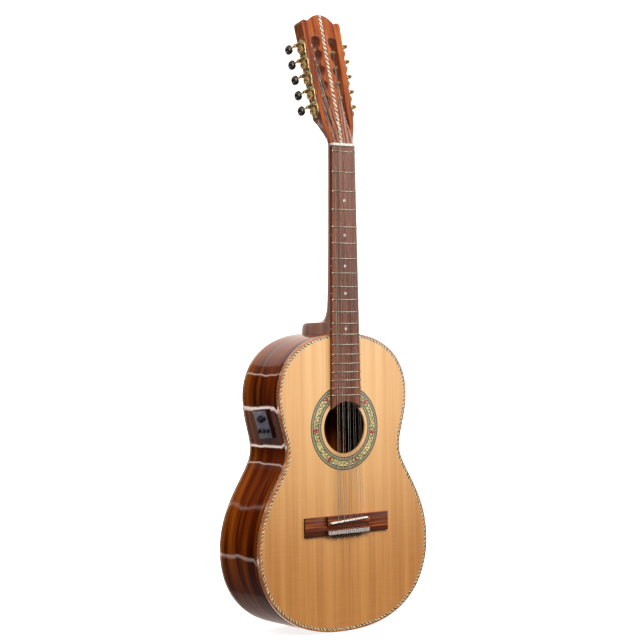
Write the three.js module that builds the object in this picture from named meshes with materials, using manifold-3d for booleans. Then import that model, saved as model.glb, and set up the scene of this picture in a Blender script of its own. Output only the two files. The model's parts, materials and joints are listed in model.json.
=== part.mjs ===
// Ten-string viola caipira: a small waisted guitar body, a Spanish heel neck, a slotted head with
// five worm tuners on each side, five pairs of strings and a preamp let into the bass rib.
//
// Millimetres. +Z runs up the neck, the soundboard faces -Y and the treble side is +X.
// The origin is the middle of the flat outer face of the tail graft, where the body would stand.

import * as THREE from "three";
import { mergeVertices } from "three/addons/utils/BufferGeometryUtils.js";
import Module from "manifold-3d";

const wasm = await Module();
wasm.setup();

// ---------------------------------------------------------------- driving dimensions

const GAP = 0.3;                    // left between pieces that touch

// body
const BODY_LENGTH = 473.6;
const TAIL_DEPTH = 112;             // soundboard face to back face, at the tail
const NECK_DEPTH = 94;              // the same at the neck end
const TAIL_FLAT = 12;               // half-width of the flat at the tail
const TOP_THICK = 2.8;
const BACK_THICK = 2.8;
const RIB_THICK = 2.5;
const BINDING_WIDE = 2.5;
const BINDING_DEEP = 6.5;
const LINING_WIDE = 6;
const LINING_DEEP = 14;

// soundhole and rosette
const HOLE_Z = 323.4;
const HOLE_R = 41.3;
const ROSETTE_INNER = 47.5;
const ROSETTE_OUTER = 67.4;
const ROSETTE_THICK = 1.0;

// scale and fingerboard
const SCALE = 580;
const ZERO_FRET_Z = 761.4;
const FRETS = 19;
const BOARD_FACE = -7;              // y of the playing face
const BOARD_TOP_Z = 769.2;
const BOARD_HALF_AT_ZERO = 23;
const BOARD_FLARE = 0.0155;         // half-width gained for each millimetre down the neck
const BOARD_END_R = 41.8;           // the lower end follows the soundhole
const BOARD_END_HALF = 28.9;
const FRET_WIDE = 2.2;
const FRET_TALL = 1.1;
const NUT_TOP = 9.3;

// neck and head
const HEAD_TILT = THREE.MathUtils.degToRad(14.33);
const HEAD_FOOT = new THREE.Vector3(0, -3, 774.4);
const HEAD_THICK = 22.2;
const VENEER = 2;
const HEAD_HALF_LOW = 33;           // half-width where the straight sides start
const HEAD_SIDE_LOW = 48;           // how far up the head that is
const HEAD_HALF_TOP = 39.2;
const HEAD_SIDE_TOP = 205;
const HEAD_CREST = 219.5;
const HEAD_DIP = 26;                // half-width of the domed crest
const HEAD_DIP_TOP = 206;           // where the crest rises from the shoulders
const HEAD_FOOT_HALF = 22.8;
const HEAD_INLAY_HALF = 3;
const HEAD_INLAY_THICK = 0.8;
const SLOT_LOW = 39;
const SLOT_TOP = 181;
const SLOT_OUTER_LOW = 23.5;
const SLOT_OUTER_TOP = 26.3;
const SLOT_CUSP = 13.5;             // half-width of the middle rib at each post
const RAMP_LOW = 24;                // the slopes into the slots start here
const RAMP_TOP = 42;
const RAMP_DEEP = 7.5;
const RAMP_MIDDLE = 18.4;
const RAMP_WIDE = 9;

// bridge
const BRIDGE_LOW = 154.7;
const BRIDGE_TALL = 30.4;
const BRIDGE_HALF = 84;
const BRIDGE_WING = 4;
const BLOCK_HALF = 43;
const TIE_TOP = 8.3;                // height of the tie block above the soundboard
const SADDLE_TOP = 13;
const SADDLE_THICK = 2.6;
const SADDLE_SEAT = 2.4;            // depth of wood left under the saddle slot
const SADDLE_BASS = new THREE.Vector2(-38.5, 174.6);
const SADDLE_TREBLE = new THREE.Vector2(36, 179.1);

// tuners
const TUNERS = 5;
const TUNER_PITCH = 26.0;
const FIRST_POST = 8;               // up the side from where it turns straight
const POST_OFF = 10.5;              // depth of the posts behind the head's face
const POST_R = 3;
const GEAR_R = 6.9;
const WORM_RISE = 9.8;              // from a post's axis up to its worm's axis
const WORM_OUT = 7.2;               // from the head's side out to the worm's axis
const WORM_R = 2.6;
const KNOB_OFF = 36.5;

// strings, bass to treble in pairs
const STRING_PAIRS = [
  { nut: 17.75, saddle: 22.8, thick: 0.50, thin: 0.30 },
  { nut: 9.0, saddle: 11.4, thick: 0.45, thin: 0.28 },
  { nut: 0, saddle: 0, thick: 0.40, thin: 0.28 },
  { nut: -9.0, saddle: -11.4, thick: 0.28, thin: 0.28 },
  { nut: -17.75, saddle: -22.8, thick: 0.25, thin: 0.25 },
];
const PAIR_HALF_NUT = 1.25;
const PAIR_HALF_SADDLE = 2.2;
const TIE_HOLE_Y = -5.3;
const STRING_TAIL_Z = 151.5;

// preamp on the bass rib
const PANEL_AT = 0.562;             // share of the arc from the waist to the upper bout
const PANEL_TALL = 47;
const PANEL_WIDE = 36;
const PANEL_THICK = 3.5;
const PANEL_DEPTH_Y = 47;           // its middle, behind the soundboard face
const PANEL_LEAN = THREE.MathUtils.degToRad(4);
const KNOB_SHAFT_R = 1.5;
const BUTTON_R = 3;

// output jack on the treble rib
const JACK_AT = 0.42;               // share of the arc from the tail to the lower bout
const JACK_R = 6;
const JACK_BORE_R = 3.3;
const JACK_DEPTH_Y = 52;

// ---------------------------------------------------------------- finishes

const finish = (color, roughness, metalness = 0) =>
  new THREE.MeshStandardMaterial({ color, roughness, metalness });

const SPRUCE = finish(0xdca56a, 0.35);
const ROSEWOOD = finish(0x4a2413, 0.12);
const BOARD_WOOD = finish(0x6e4534, 0.45);
const BINDING_WOOD = finish(0xa2582a, 0.25);
const MAHOGANY = finish(0x7a4a34, 0.35);
const VENEER_WOOD = finish(0xa9603a, 0.3);
const LINING_WOOD = finish(0xc99f6c, 0.7);
const MARQUETRY = finish(0xb9b096, 0.35);
const BONE = finish(0xf3ecdc, 0.35);
const STEEL = finish(0xc9c9c9, 0.3, 1);
const GOLD = finish(0xb58a3c, 0.3, 1);
const BLACK_PLASTIC = finish(0x121214, 0.25);
const PANEL_METAL = finish(0x5b6573, 0.35, 0.6);

// ---------------------------------------------------------------- solids

function bare(geometry) {
  const copy = geometry.clone();
  for (const name of Object.keys(copy.attributes)) {
    if (name !== "position") copy.deleteAttribute(name);
  }
  return mergeVertices(copy, 1e-4);
}

function solid(geometry) {
  const merged = bare(geometry);
  return new wasm.Manifold(new wasm.Mesh({
    numProp: 3,
    vertProperties: new Float32Array(merged.attributes.position.array),
    triVerts: new Uint32Array(merged.index.array),
  }));
}

function geometryOf(manifold) {
  const mesh = manifold.getMesh();
  const geometry = new THREE.BufferGeometry();
  geometry.setAttribute("position", new THREE.BufferAttribute(mesh.vertProperties, 3));
  geometry.setIndex(new THREE.BufferAttribute(mesh.triVerts, 1));
  geometry.computeVertexNormals();
  return geometry;
}

const joined = (geometries) =>
  geometryOf(geometries.map(solid).reduce((whole, piece) => whole.add(piece)));

const cut = (geometry, tools) =>
  geometryOf(tools.map(solid).reduce((rest, tool) => rest.subtract(tool), solid(geometry)));

const common = (first, second) => geometryOf(solid(first).intersect(solid(second)));

function box(x0, x1, y0, y1, z0, z1) {
  const geometry = new THREE.BoxGeometry(x1 - x0, y1 - y0, z1 - z0);
  return geometry.translate((x0 + x1) / 2, (y0 + y1) / 2, (z0 + z1) / 2);
}

// A flat outline in x and z, made thick between the depths front and back.
// Either depth may be a number or a function of z, so a plate can follow the tilted back.
function plate(shape, front, back, curveSegments = 8) {
  const depthAt = (depth, z) => (typeof depth === "function" ? depth(z) : depth);
  const options = { depth: 1, bevelEnabled: false, curveSegments };
  const geometry = new THREE.ExtrudeGeometry(shape, options);
  const position = geometry.attributes.position;
  for (let i = 0; i < position.count; i++) {
    const z = position.getY(i);
    const nearer = depthAt(front, z);
    const farther = depthAt(back, z);
    position.setXYZ(i, position.getX(i), farther + position.getZ(i) * (nearer - farther), z);
  }
  return geometry;
}

// A turned solid: a profile of [radius, along] pairs, with its axis along x, y or z.
function turned(profile, axis, segments) {
  const points = profile.map(([radius, along]) => new THREE.Vector2(radius, along));
  const geometry = new THREE.LatheGeometry(points, segments);
  if (axis === "x") geometry.rotateZ(-Math.PI / 2);
  if (axis === "z") geometry.rotateX(Math.PI / 2);
  return geometry;
}

const rod = (radius, from, to, axis, segments = 16) =>
  turned([[0, from], [radius, from], [radius, to], [0, to]], axis, segments);

const polygon = (points) => new THREE.Shape(points.map(([x, z]) => new THREE.Vector2(x, z)));

function rectangle(x0, x1, z0, z1) {
  return polygon([[x0, z0], [x1, z0], [x1, z1], [x0, z1]]);
}

function circle(x, z, radius) {
  const path = new THREE.Path();
  path.absarc(x, z, radius, 0, 2 * Math.PI, true);
  return path;
}

// ---------------------------------------------------------------- body outline

const at = (x, z) => new THREE.Vector2(x, z);

// The treble half of the outline, from the tail to the neck, as four arcs.
const HALF_OUTLINE = [
  new THREE.CubicBezierCurve(at(0, 0), at(149.2, 0), at(170.7, 90.9), at(170.7, 135.5)),
  new THREE.CubicBezierCurve(at(170.7, 135.5), at(170.7, 212.6), at(113.7, 255.3), at(113.7, 287.8)),
  new THREE.CubicBezierCurve(at(113.7, 287.8), at(113.7, 315.1), at(129.5, 337.8), at(129.5, 375.9)),
  new THREE.CubicBezierCurve(
    at(129.5, 375.9), at(129.5, 430.3), at(88.1, BODY_LENGTH), at(0, BODY_LENGTH),
  ),
];
const [TAIL_ARC, , WAIST_ARC] = HALF_OUTLINE;
const ARC_STEPS = 8;

const backAt = (z) => TAIL_DEPTH + (NECK_DEPTH - TAIL_DEPTH) * (z / BODY_LENGTH);
const behindBack = (distance) => (z) => backAt(z) - distance;

function outwardAt(curve, t) {
  const tangent = curve.getTangent(t);
  return new THREE.Vector2(tangent.y, -tangent.x);
}

// Points of the treble half, moved inwards by inset, from the tail flat to x = stop near the neck.
function halfRim(inset, stop = 0) {
  const points = [at(TAIL_FLAT, inset)];
  for (const curve of HALF_OUTLINE) {
    for (let i = 1; i <= ARC_STEPS; i++) {
      const t = i / ARC_STEPS;
      points.push(curve.getPoint(t).addScaledVector(outwardAt(curve, t), -inset));
    }
  }
  if (stop > 0) {
    const beyond = points.findIndex((point, i) => i > ARC_STEPS * 3 && point.x < stop);
    const before = points[beyond - 1];
    const share = (before.x - stop) / (before.x - points[beyond].x);
    points.splice(beyond, Infinity, before.clone().lerp(points[beyond], share));
  }
  return points;
}

const mirrored = (points) => points.map((point) => at(-point.x, point.y)).reverse();

function fullRim(inset) {
  const treble = halfRim(inset);
  return [...treble, ...mirrored(treble).slice(1)];
}

function ringShape(outerInset, innerInset) {
  const shape = new THREE.Shape(fullRim(outerInset));
  shape.holes.push(new THREE.Path(fullRim(innerInset)));
  return shape;
}

// ---------------------------------------------------------------- frames of the turned groups

const instrument = new THREE.Group();
instrument.position.y = -TAIL_DEPTH / 2;

// In the head's frame x is across, y is the depth behind its face and z runs up the face.
const head = new THREE.Group();
head.position.copy(HEAD_FOOT);
head.rotation.x = -HEAD_TILT;
instrument.add(head);

// In a side's frame x is outwards from the head's side and z runs up along it.
const sideLean = Math.atan2(HEAD_HALF_TOP - HEAD_HALF_LOW, HEAD_SIDE_TOP - HEAD_SIDE_LOW);
const SIDES = { bass: -1, treble: 1 };

function sideFrame(side) {
  const group = new THREE.Group();
  group.position.set(side * HEAD_HALF_LOW, 0, HEAD_SIDE_LOW);
  group.rotation.y = side * sideLean;
  group.updateMatrix();
  head.add(group);
  return group;
}
const sideGroups = { bass: sideFrame(-1), treble: sideFrame(1) };
head.updateMatrix();

// The rib frames: x is outwards from the rib, y is towards the front and z runs along the rib.
function ribFrame(side, curve, share, depth) {
  const point = curve.getPoint(share);
  const out = outwardAt(curve, share);
  const x = new THREE.Vector3(side * out.x, 0, out.y);
  const y = new THREE.Vector3(0, -1, 0);
  const z = new THREE.Vector3().crossVectors(x, y);
  const group = new THREE.Group();
  group.applyMatrix4(new THREE.Matrix4().makeBasis(x, y, z));
  group.position.set(side * point.x, depth, point.y);
  group.updateMatrix();
  instrument.add(group);
  return group;
}
const panelFrame = ribFrame(-1, WAIST_ARC, PANEL_AT, PANEL_DEPTH_Y);
panelFrame.rotateX(PANEL_LEAN);
panelFrame.updateMatrix();
const jackFrame = ribFrame(1, TAIL_ARC, JACK_AT, JACK_DEPTH_Y);

function put(name, geometry, material, parent = instrument) {
  const mesh = new THREE.Mesh(geometry, material);
  mesh.name = name;
  parent.add(mesh);
  return mesh;
}

// ---------------------------------------------------------------- body

const insideBinding = BINDING_WIDE + GAP;
const insideRibs = () => plate(new THREE.Shape(fullRim(insideBinding)), -2, 130);

function makeSoundboard() {
  const shape = new THREE.Shape(fullRim(insideBinding));
  shape.holes.push(circle(0, HOLE_Z, HOLE_R));
  const board = plate(shape, 0, TOP_THICK, 14);
  const channel = new THREE.Shape();
  channel.absarc(0, HOLE_Z, ROSETTE_OUTER + GAP, 0, 2 * Math.PI, false);
  channel.holes.push(circle(0, HOLE_Z, ROSETTE_INNER - GAP));
  put("soundboard", cut(board, [plate(channel, -1, ROSETTE_THICK + GAP, 14)]), SPRUCE);
}

function makeRosette() {
  const shape = new THREE.Shape();
  shape.absarc(0, HOLE_Z, ROSETTE_OUTER, 0, 2 * Math.PI, false);
  shape.holes.push(circle(0, HOLE_Z, ROSETTE_INNER));
  put("rosette", plate(shape, 0, ROSETTE_THICK, 14), MARQUETRY);
}

function makeBack() {
  const shape = new THREE.Shape(fullRim(insideBinding));
  put("back_plate", plate(shape, behindBack(BACK_THICK), backAt), ROSEWOOD);
}

function makeBindings() {
  put("top_binding", plate(ringShape(0, BINDING_WIDE), 0, BINDING_DEEP), BINDING_WOOD);
  const back = plate(ringShape(0, BINDING_WIDE), behindBack(BINDING_DEEP), backAt);
  put("back_binding", back, BINDING_WOOD);
}

// The ribs stop either side of the web that joins the heel to the neck block.
const WEB_HALF = 9.7;

function ribBlank(side) {
  const outer = halfRim(0, WEB_HALF + GAP);
  const inner = halfRim(RIB_THICK, WEB_HALF + GAP);
  const loop = [...outer, ...inner.reverse()];
  const points = side > 0 ? loop : mirrored(loop);
  return plate(new THREE.Shape(points), BINDING_DEEP + GAP, behindBack(BINDING_DEEP + GAP));
}

function makeRibs() {
  const panelHole = box(-30, 30, -PANEL_WIDE / 2 + 2.5, PANEL_WIDE / 2 - 2.5,
    -PANEL_TALL / 2 + 2.5, PANEL_TALL / 2 - 2.5).applyMatrix4(panelFrame.matrix);
  put("rib_bass", cut(ribBlank(-1), [panelHole]), ROSEWOOD);
  const jackHole = rod(JACK_R + 0.4, -20, 20, "x", 16).applyMatrix4(jackFrame.matrix);
  put("rib_treble", cut(ribBlank(1), [jackHole]), ROSEWOOD);
}

function makeTail() {
  const graft = rectangle(-TAIL_FLAT + GAP, TAIL_FLAT - GAP, 0, RIB_THICK);
  const rim = BINDING_DEEP + GAP;
  put("tail_graft", plate(graft, rim, behindBack(rim)), BINDING_WOOD);
  const clear = TOP_THICK + LINING_DEEP + 2 * GAP;
  const block = plate(rectangle(-30, 30, 0, 22), clear, behindBack(clear));
  put("tail_block", common(insideRibs(), block), MAHOGANY);
}

// The linings are open at the neck block.
const BLOCK_WIDE = 30;

function makeLinings() {
  const inset = insideBinding;
  const outer = halfRim(inset, BLOCK_WIDE + 2 * GAP);
  const inner = halfRim(inset + LINING_WIDE, BLOCK_WIDE + 2 * GAP);
  inner.reverse();
  const shape = new THREE.Shape([...mirrored(outer), ...outer, ...inner, ...mirrored(inner)]);
  const top = TOP_THICK + GAP;
  put("top_lining", plate(shape, top, top + LINING_DEEP), LINING_WOOD);
  const low = BACK_THICK + GAP;
  put("back_lining", plate(shape, behindBack(low + LINING_DEEP), behindBack(low)), LINING_WOOD);
}

// A brace is a bar in x and z from one end to the other, as deep as tall says.
function brace(x0, z0, x1, z1, wide, front, back) {
  const along = at(x1 - x0, z1 - z0).normalize().multiplyScalar(wide / 2);
  return plate(polygon([
    [x0 + along.y, z0 - along.x], [x1 + along.y, z1 - along.x],
    [x1 - along.y, z1 + along.x], [x0 - along.y, z0 + along.x],
  ]), front, back);
}

function makeTopBracing() {
  const front = TOP_THICK + GAP;
  const harmonic = front + 12;
  const fan = front + 6;
  const bars = [
    brace(-105, 395, 105, 395, 7, front, harmonic),
    brace(-106, 268, 106, 268, 7, front, harmonic),
    brace(-58, 268, -58, 395, 12, front, front + 3),
    brace(58, 268, 58, 395, 12, front, front + 3),
    plate(rectangle(-88, 88, 152, 188), front, front + 2.5),
  ];
  for (let i = -2; i <= 2; i++) {
    bars.push(brace(i * 21, 268, i * 46, 40 + Math.abs(i) * 8, 6, front, fan));
  }
  put("top_bracing", joined(bars), SPRUCE);
}

function makeBackBracing() {
  const back = behindBack(BACK_THICK + GAP);
  const ladder = behindBack(BACK_THICK + GAP + 12);
  const bars = [plate(rectangle(-8, 8, 30, 430), behindBack(BACK_THICK + GAP + 2.5), back)];
  for (const [z, half] of [[110, 155], [235, 118], [350, 112]]) {
    bars.push(brace(-half, z, half, z, 8, ladder, back));
  }
  put("back_bracing", joined(bars), SPRUCE);
}

// ---------------------------------------------------------------- bridge

const SADDLE_SLOPE = (SADDLE_TREBLE.y - SADDLE_BASS.y) / (SADDLE_TREBLE.x - SADDLE_BASS.x);
const saddleZ = (x) => SADDLE_BASS.y + (x - SADDLE_BASS.x) * SADDLE_SLOPE;

function saddleBar(wide, front, back, longer) {
  const along = SADDLE_TREBLE.clone().sub(SADDLE_BASS).normalize().multiplyScalar(longer);
  const from = SADDLE_BASS.clone().sub(along);
  const to = SADDLE_TREBLE.clone().add(along);
  return brace(from.x, from.y, to.x, to.y, wide, front, back);
}

function makeBridge(strings) {
  const top = BRIDGE_LOW + BRIDGE_TALL;
  const tieTop = BRIDGE_LOW + 9;
  const parts = [
    plate(rectangle(-BRIDGE_HALF, BRIDGE_HALF, BRIDGE_LOW, top), -BRIDGE_WING, -GAP),
    plate(rectangle(-BLOCK_HALF, BLOCK_HALF, BRIDGE_LOW + 0.6, tieTop), -TIE_TOP, -1),
    plate(rectangle(-BLOCK_HALF, BLOCK_HALF, 170.6, top - 0.8), -TIE_TOP, -1),
  ];
  const cuts = [saddleBar(SADDLE_THICK + 2 * GAP, -20, -SADDLE_SEAT, 0.6)];
  for (const string of strings) {
    cuts.push(rod(string.radius + 0.35, BRIDGE_LOW - 2, tieTop + 2, "z", 8)
      .translate(string.saddleX, TIE_HOLE_Y, 0));
  }
  put("bridge", cut(joined(parts), cuts), ROSEWOOD);
  put("saddle", saddleBar(SADDLE_THICK, -SADDLE_TOP, -SADDLE_SEAT - GAP, 0), BONE);
  const inlay = rectangle(-41.2, 41.2, BRIDGE_LOW + 1.1, tieTop - 0.5);
  put("tie_block_inlay", plate(inlay, -TIE_TOP - GAP - 1, -TIE_TOP - GAP), MARQUETRY);
}

// ---------------------------------------------------------------- fingerboard, nut

const fretZ = (n) => ZERO_FRET_Z - SCALE * (1 - 2 ** (-n / 12));
const boardHalf = (z) => BOARD_HALF_AT_ZERO + (ZERO_FRET_Z - z) * BOARD_FLARE;

function makeFingerboard() {
  const cornerZ = HOLE_Z + Math.sqrt(BOARD_END_R ** 2 - BOARD_END_HALF ** 2);
  const corner = Math.asin(BOARD_END_HALF / BOARD_END_R);
  const shape = new THREE.Shape();
  shape.moveTo(boardHalf(BOARD_TOP_Z), BOARD_TOP_Z);
  shape.lineTo(-boardHalf(BOARD_TOP_Z), BOARD_TOP_Z);
  shape.lineTo(-BOARD_END_HALF, cornerZ);
  shape.absarc(0, HOLE_Z, BOARD_END_R, Math.PI / 2 + corner, Math.PI / 2 - corner, true);
  const parts = [plate(shape, BOARD_FACE, -GAP, 10)];
  for (let n = 0; n <= FRETS; n++) {
    const z = fretZ(n);
    const half = boardHalf(z) - 0.4;
    const crown = polygon([
      [-FRET_WIDE / 2, 0.5], [-0.6, -FRET_TALL], [0.6, -FRET_TALL], [FRET_WIDE / 2, 0.5],
    ]);
    const bar = new THREE.ExtrudeGeometry(crown, { depth: 2 * half, bevelEnabled: false });
    bar.applyMatrix4(new THREE.Matrix4().makeBasis(
      new THREE.Vector3(0, 0, 1), new THREE.Vector3(0, 1, 0), new THREE.Vector3(-1, 0, 0)));
    parts.push(bar.translate(half, BOARD_FACE, z));
  }
  put("fingerboard", joined(parts), BOARD_WOOD);
}

function makeNut(strings) {
  const z0 = BOARD_TOP_Z + GAP;
  const z1 = HEAD_FOOT.z - GAP;
  const slots = strings.map(({ nutX, radius, nutY }) =>
    box(nutX - radius - 0.25, nutX + radius + 0.25, -15, nutY + radius + 0.35, z0 - 1, z1 + 1));
  const half = boardHalf(BOARD_TOP_Z);
  put("nut", cut(box(-half, half, -NUT_TOP, -GAP, z0, z1), slots), BONE);
}

// ---------------------------------------------------------------- neck

// Half-round sections: height, half-width, depth, how much of the width is left at the back, and
// how square the section is.
function loft(sections) {
  const around = 16;
  const ring = [];
  for (const [z, wide, depth, share, square] of sections) {
    for (let i = 0; i <= around; i++) {
      const angle = Math.PI * (i / around);
      const y = depth * Math.sin(angle) ** (2 / square);
      const half = wide * THREE.MathUtils.lerp(1, share, y / depth);
      const cosine = Math.cos(angle);
      ring.push(half * Math.sign(cosine) * Math.abs(cosine) ** (2 / square), y, z);
    }
  }
  const count = around + 1;
  const index = [];
  for (let row = 0; row + 1 < sections.length; row++) {
    const above = row * count;
    const below = above + count;
    for (let i = 0; i < count; i++) {
      const next = (i + 1) % count;
      index.push(above + i, below + next, above + next);
      index.push(above + i, below + i, below + next);
    }
  }
  const last = (sections.length - 1) * count;
  for (let i = 1; i + 1 < count; i++) {
    index.push(0, i, i + 1);
    index.push(last, last + i + 1, last + i);
  }
  const geometry = new THREE.BufferGeometry();
  geometry.setAttribute("position", new THREE.Float32BufferAttribute(ring, 3));
  geometry.setIndex(index);
  return geometry;
}

// The shaft and heel, from the head down; the board sets their width.
const NECK_SECTIONS = [
  [776.4, 13.8, 1, 2.3], [740, 13.5, 1, 2.3], [640, 14.4, 1, 2.3], [600, 15.2, 1, 2.3],
  [545, 16.7, 1, 2.3], [527, 18.6, 1, 2.3], [515, 20.6, 0.99, 2.35], [507, 23.2, 0.98, 2.4],
  [500.9, 26.8, 0.96, 2.5], [497.8, 29.8, 0.94, 2.6], [494.6, 33.8, 0.92, 2.7], [493, 37.4, 0.9, 2.8],
  [491.6, 44, 0.89, 3], [490.8, 60, 0.87, 3.3], [490.2, 86, 0.85, 3.5], [488, 92, 0.84, 3.5],
  [483, 94.9, 0.84, 3.5], [476, 95.8, 0.84, 3.5], [464, 95.8, 0.84, 3.5],
].map(([z, ...rest]) => [z, boardHalf(z), ...rest]);

// The foot of the head, in the head's frame, from as round as the neck to square.
const HEAD_FOOT_SECTIONS = [
  [240, 48, 26, 1, 24], [50, 48, 26, 1, 24], [44, 34.5, 23.4, 1, 9], [36, 32.6, 21.9, 1, 4.6],
  [27, 30.6, 20.6, 1, 3.3], [18, 27, 19.4, 1, 2.7], [9, 23.9, 18.3, 1, 2.4], [-6, 23, 17.4, 1, 2.3],
];

const postAt = (i) => FIRST_POST + i * TUNER_PITCH;
const postUpHead = (i) => HEAD_SIDE_LOW + postAt(i) * Math.cos(sideLean);

// One slot of the head; its inner edge swells towards the middle between the posts.
function slotPath(side) {
  const path = new THREE.Path();
  const x = (half) => side * half;
  path.moveTo(x(SLOT_OUTER_LOW), SLOT_LOW + 3);
  path.lineTo(x(SLOT_OUTER_TOP), SLOT_TOP - 9);
  path.quadraticCurveTo(x(SLOT_OUTER_TOP), SLOT_TOP, x(16), SLOT_TOP);
  path.quadraticCurveTo(x(7.5), SLOT_TOP, x(8.2), 175);
  path.quadraticCurveTo(x(9.5), 168, x(SLOT_CUSP), postUpHead(TUNERS - 1) + 3);
  for (let i = TUNERS - 2; i >= 0; i--) {
    const from = postUpHead(i + 1);
    const to = postUpHead(i);
    path.lineTo(x(SLOT_CUSP), from);
    path.quadraticCurveTo(x(4.5), (from + to) / 2 + 2, x(SLOT_CUSP), to + 3);
  }
  path.lineTo(x(SLOT_CUSP), SLOT_LOW + 3);
  path.quadraticCurveTo(x(SLOT_CUSP), SLOT_LOW, x(17), SLOT_LOW);
  path.lineTo(x(20), SLOT_LOW);
  path.quadraticCurveTo(x(SLOT_OUTER_LOW), SLOT_LOW, x(SLOT_OUTER_LOW), SLOT_LOW + 3);
  return path;
}

function headOutline(start) {
  const foot = HEAD_FOOT_HALF;
  const shape = new THREE.Shape();
  const domeRise = HEAD_CREST - HEAD_DIP_TOP;
  const domeR = (HEAD_DIP ** 2 + domeRise ** 2) / (2 * domeRise);
  const domeHalf = Math.asin(HEAD_DIP / domeR);
  shape.moveTo(foot, start);
  shape.bezierCurveTo(23.4, 12, 31.6, 24, HEAD_HALF_LOW, HEAD_SIDE_LOW);
  shape.lineTo(HEAD_HALF_TOP, HEAD_SIDE_TOP);
  shape.quadraticCurveTo(36.5, 208.4, 33, 208.6);
  shape.quadraticCurveTo(29, 208.4, HEAD_DIP, HEAD_DIP_TOP);
  const upright = Math.PI / 2;
  shape.absarc(0, HEAD_CREST - domeR, domeR, upright - domeHalf, upright + domeHalf, false);
  shape.quadraticCurveTo(-29, 208.4, -33, 208.6);
  shape.quadraticCurveTo(-36.5, 208.4, -HEAD_HALF_TOP, HEAD_SIDE_TOP);
  shape.lineTo(-HEAD_HALF_LOW, HEAD_SIDE_LOW);
  shape.bezierCurveTo(-31.6, 24, -23.4, 12, -foot, start);
  shape.holes.push(slotPath(1), slotPath(-1));
  return shape;
}

// The slope that lets the strings down into each slot, as a wedge in depth and height.
function ramp(side) {
  const wedge = polygon([[-1, RAMP_LOW], [RAMP_DEEP, RAMP_TOP], [-1, RAMP_TOP]]);
  const geometry = new THREE.ExtrudeGeometry(wedge, { depth: RAMP_WIDE, bevelEnabled: false });
  geometry.applyMatrix4(new THREE.Matrix4().makeBasis(
    new THREE.Vector3(0, 1, 0), new THREE.Vector3(0, 0, 1), new THREE.Vector3(1, 0, 0)));
  return geometry.translate(side * RAMP_MIDDLE - RAMP_WIDE / 2, 0, 0);
}

// The way that each string takes over the head, widened, so that no wood is in it.
function stringGrooves(strings) {
  const across = new THREE.Vector3(1, 0, 0);
  const up = new THREE.Vector3(0, 1, 0);
  return strings.map((string) => {
    const from = string.nutPoint.clone().sub(HEAD_FOOT).applyAxisAngle(across, HEAD_TILT);
    const way = string.postPoint.clone().sub(from);
    const groove = rod(string.radius + 0.6, 0, way.length() + 2, "y", 5);
    groove.applyQuaternion(new THREE.Quaternion().setFromUnitVectors(up, way.normalize()));
    return groove.translate(from.x, from.y, from.z);
  });
}

// The bores for the posts of one side.
function postBores(name, side) {
  const bores = [];
  for (let i = 0; i < TUNERS; i++) {
    const bore = rod(POST_R + GAP, -24.6, 2, "x", 10).translate(0, POST_OFF, postAt(i));
    if (side < 0) bore.rotateZ(Math.PI).translate(0, 2 * POST_OFF, 0);
    bores.push(bore.applyMatrix4(sideGroups[name].matrix));
  }
  return bores;
}

function makeNeck(strings) {
  const bodyEnvelope = plate(new THREE.Shape(fullRim(-GAP)), -2, 130);
  const outer = cut(loft(NECK_SECTIONS), [bodyEnvelope]);
  const under = TOP_THICK + GAP;
  const blockBar = plate(rectangle(-BLOCK_WIDE, BLOCK_WIDE, 440, 480), under, behindBack(under));
  const block = common(insideRibs(), blockBar);
  const foot = plate(rectangle(-BLOCK_WIDE, BLOCK_WIDE, 402, 441), under, under + 9);
  const rim = BINDING_DEEP + GAP;
  const web = plate(rectangle(-WEB_HALF, WEB_HALF, 468, 476), rim, behindBack(rim));

  const core = common(plate(headOutline(1.6), VENEER + GAP, HEAD_THICK, 4), loft(HEAD_FOOT_SECTIONS));
  const openings = [ramp(1), ramp(-1), ...stringGrooves(strings)];
  const bores = Object.entries(SIDES).flatMap(([name, side]) => postBores(name, side));
  const headWood = cut(core, [...openings, ...bores]).applyMatrix4(head.matrix);
  put("neck", joined([outer, block, foot, web, headWood]), MAHOGANY);

  const channel = HEAD_INLAY_HALF + GAP;
  const groove = box(-channel, channel, -1, HEAD_INLAY_THICK + GAP, -5, 230);
  const veneer = cut(plate(headOutline(0.6), 0, VENEER, 4), [groove, ...openings]);
  put("headstock_veneer", veneer, VENEER_WOOD, head);
  const strip = rectangle(-HEAD_INLAY_HALF, HEAD_INLAY_HALF, 0.9, HEAD_CREST - 0.6);
  put("headstock_inlay", plate(strip, 0, HEAD_INLAY_THICK), MARQUETRY, head);
}

// ---------------------------------------------------------------- strings

// A polyline route whose rings sit on its points.
class StringRoute extends THREE.Curve {
  constructor(points) {
    super();
    this.points = points;
  }
  getUtoTmapping(u) {
    return u;
  }
  getPoint(t) {
    return this.points[Math.round(t * (this.points.length - 1))].clone();
  }
  getTangent(t) {
    const i = Math.round(t * (this.points.length - 1));
    const here = this.points[i];
    const before = this.points[Math.max(i - 1, 0)];
    const after = this.points[Math.min(i + 1, this.points.length - 1)];
    const arriving = here.clone().sub(before).normalize();
    const leaving = after.clone().sub(here).normalize();
    return arriving.add(leaving).normalize();
  }
}

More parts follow.
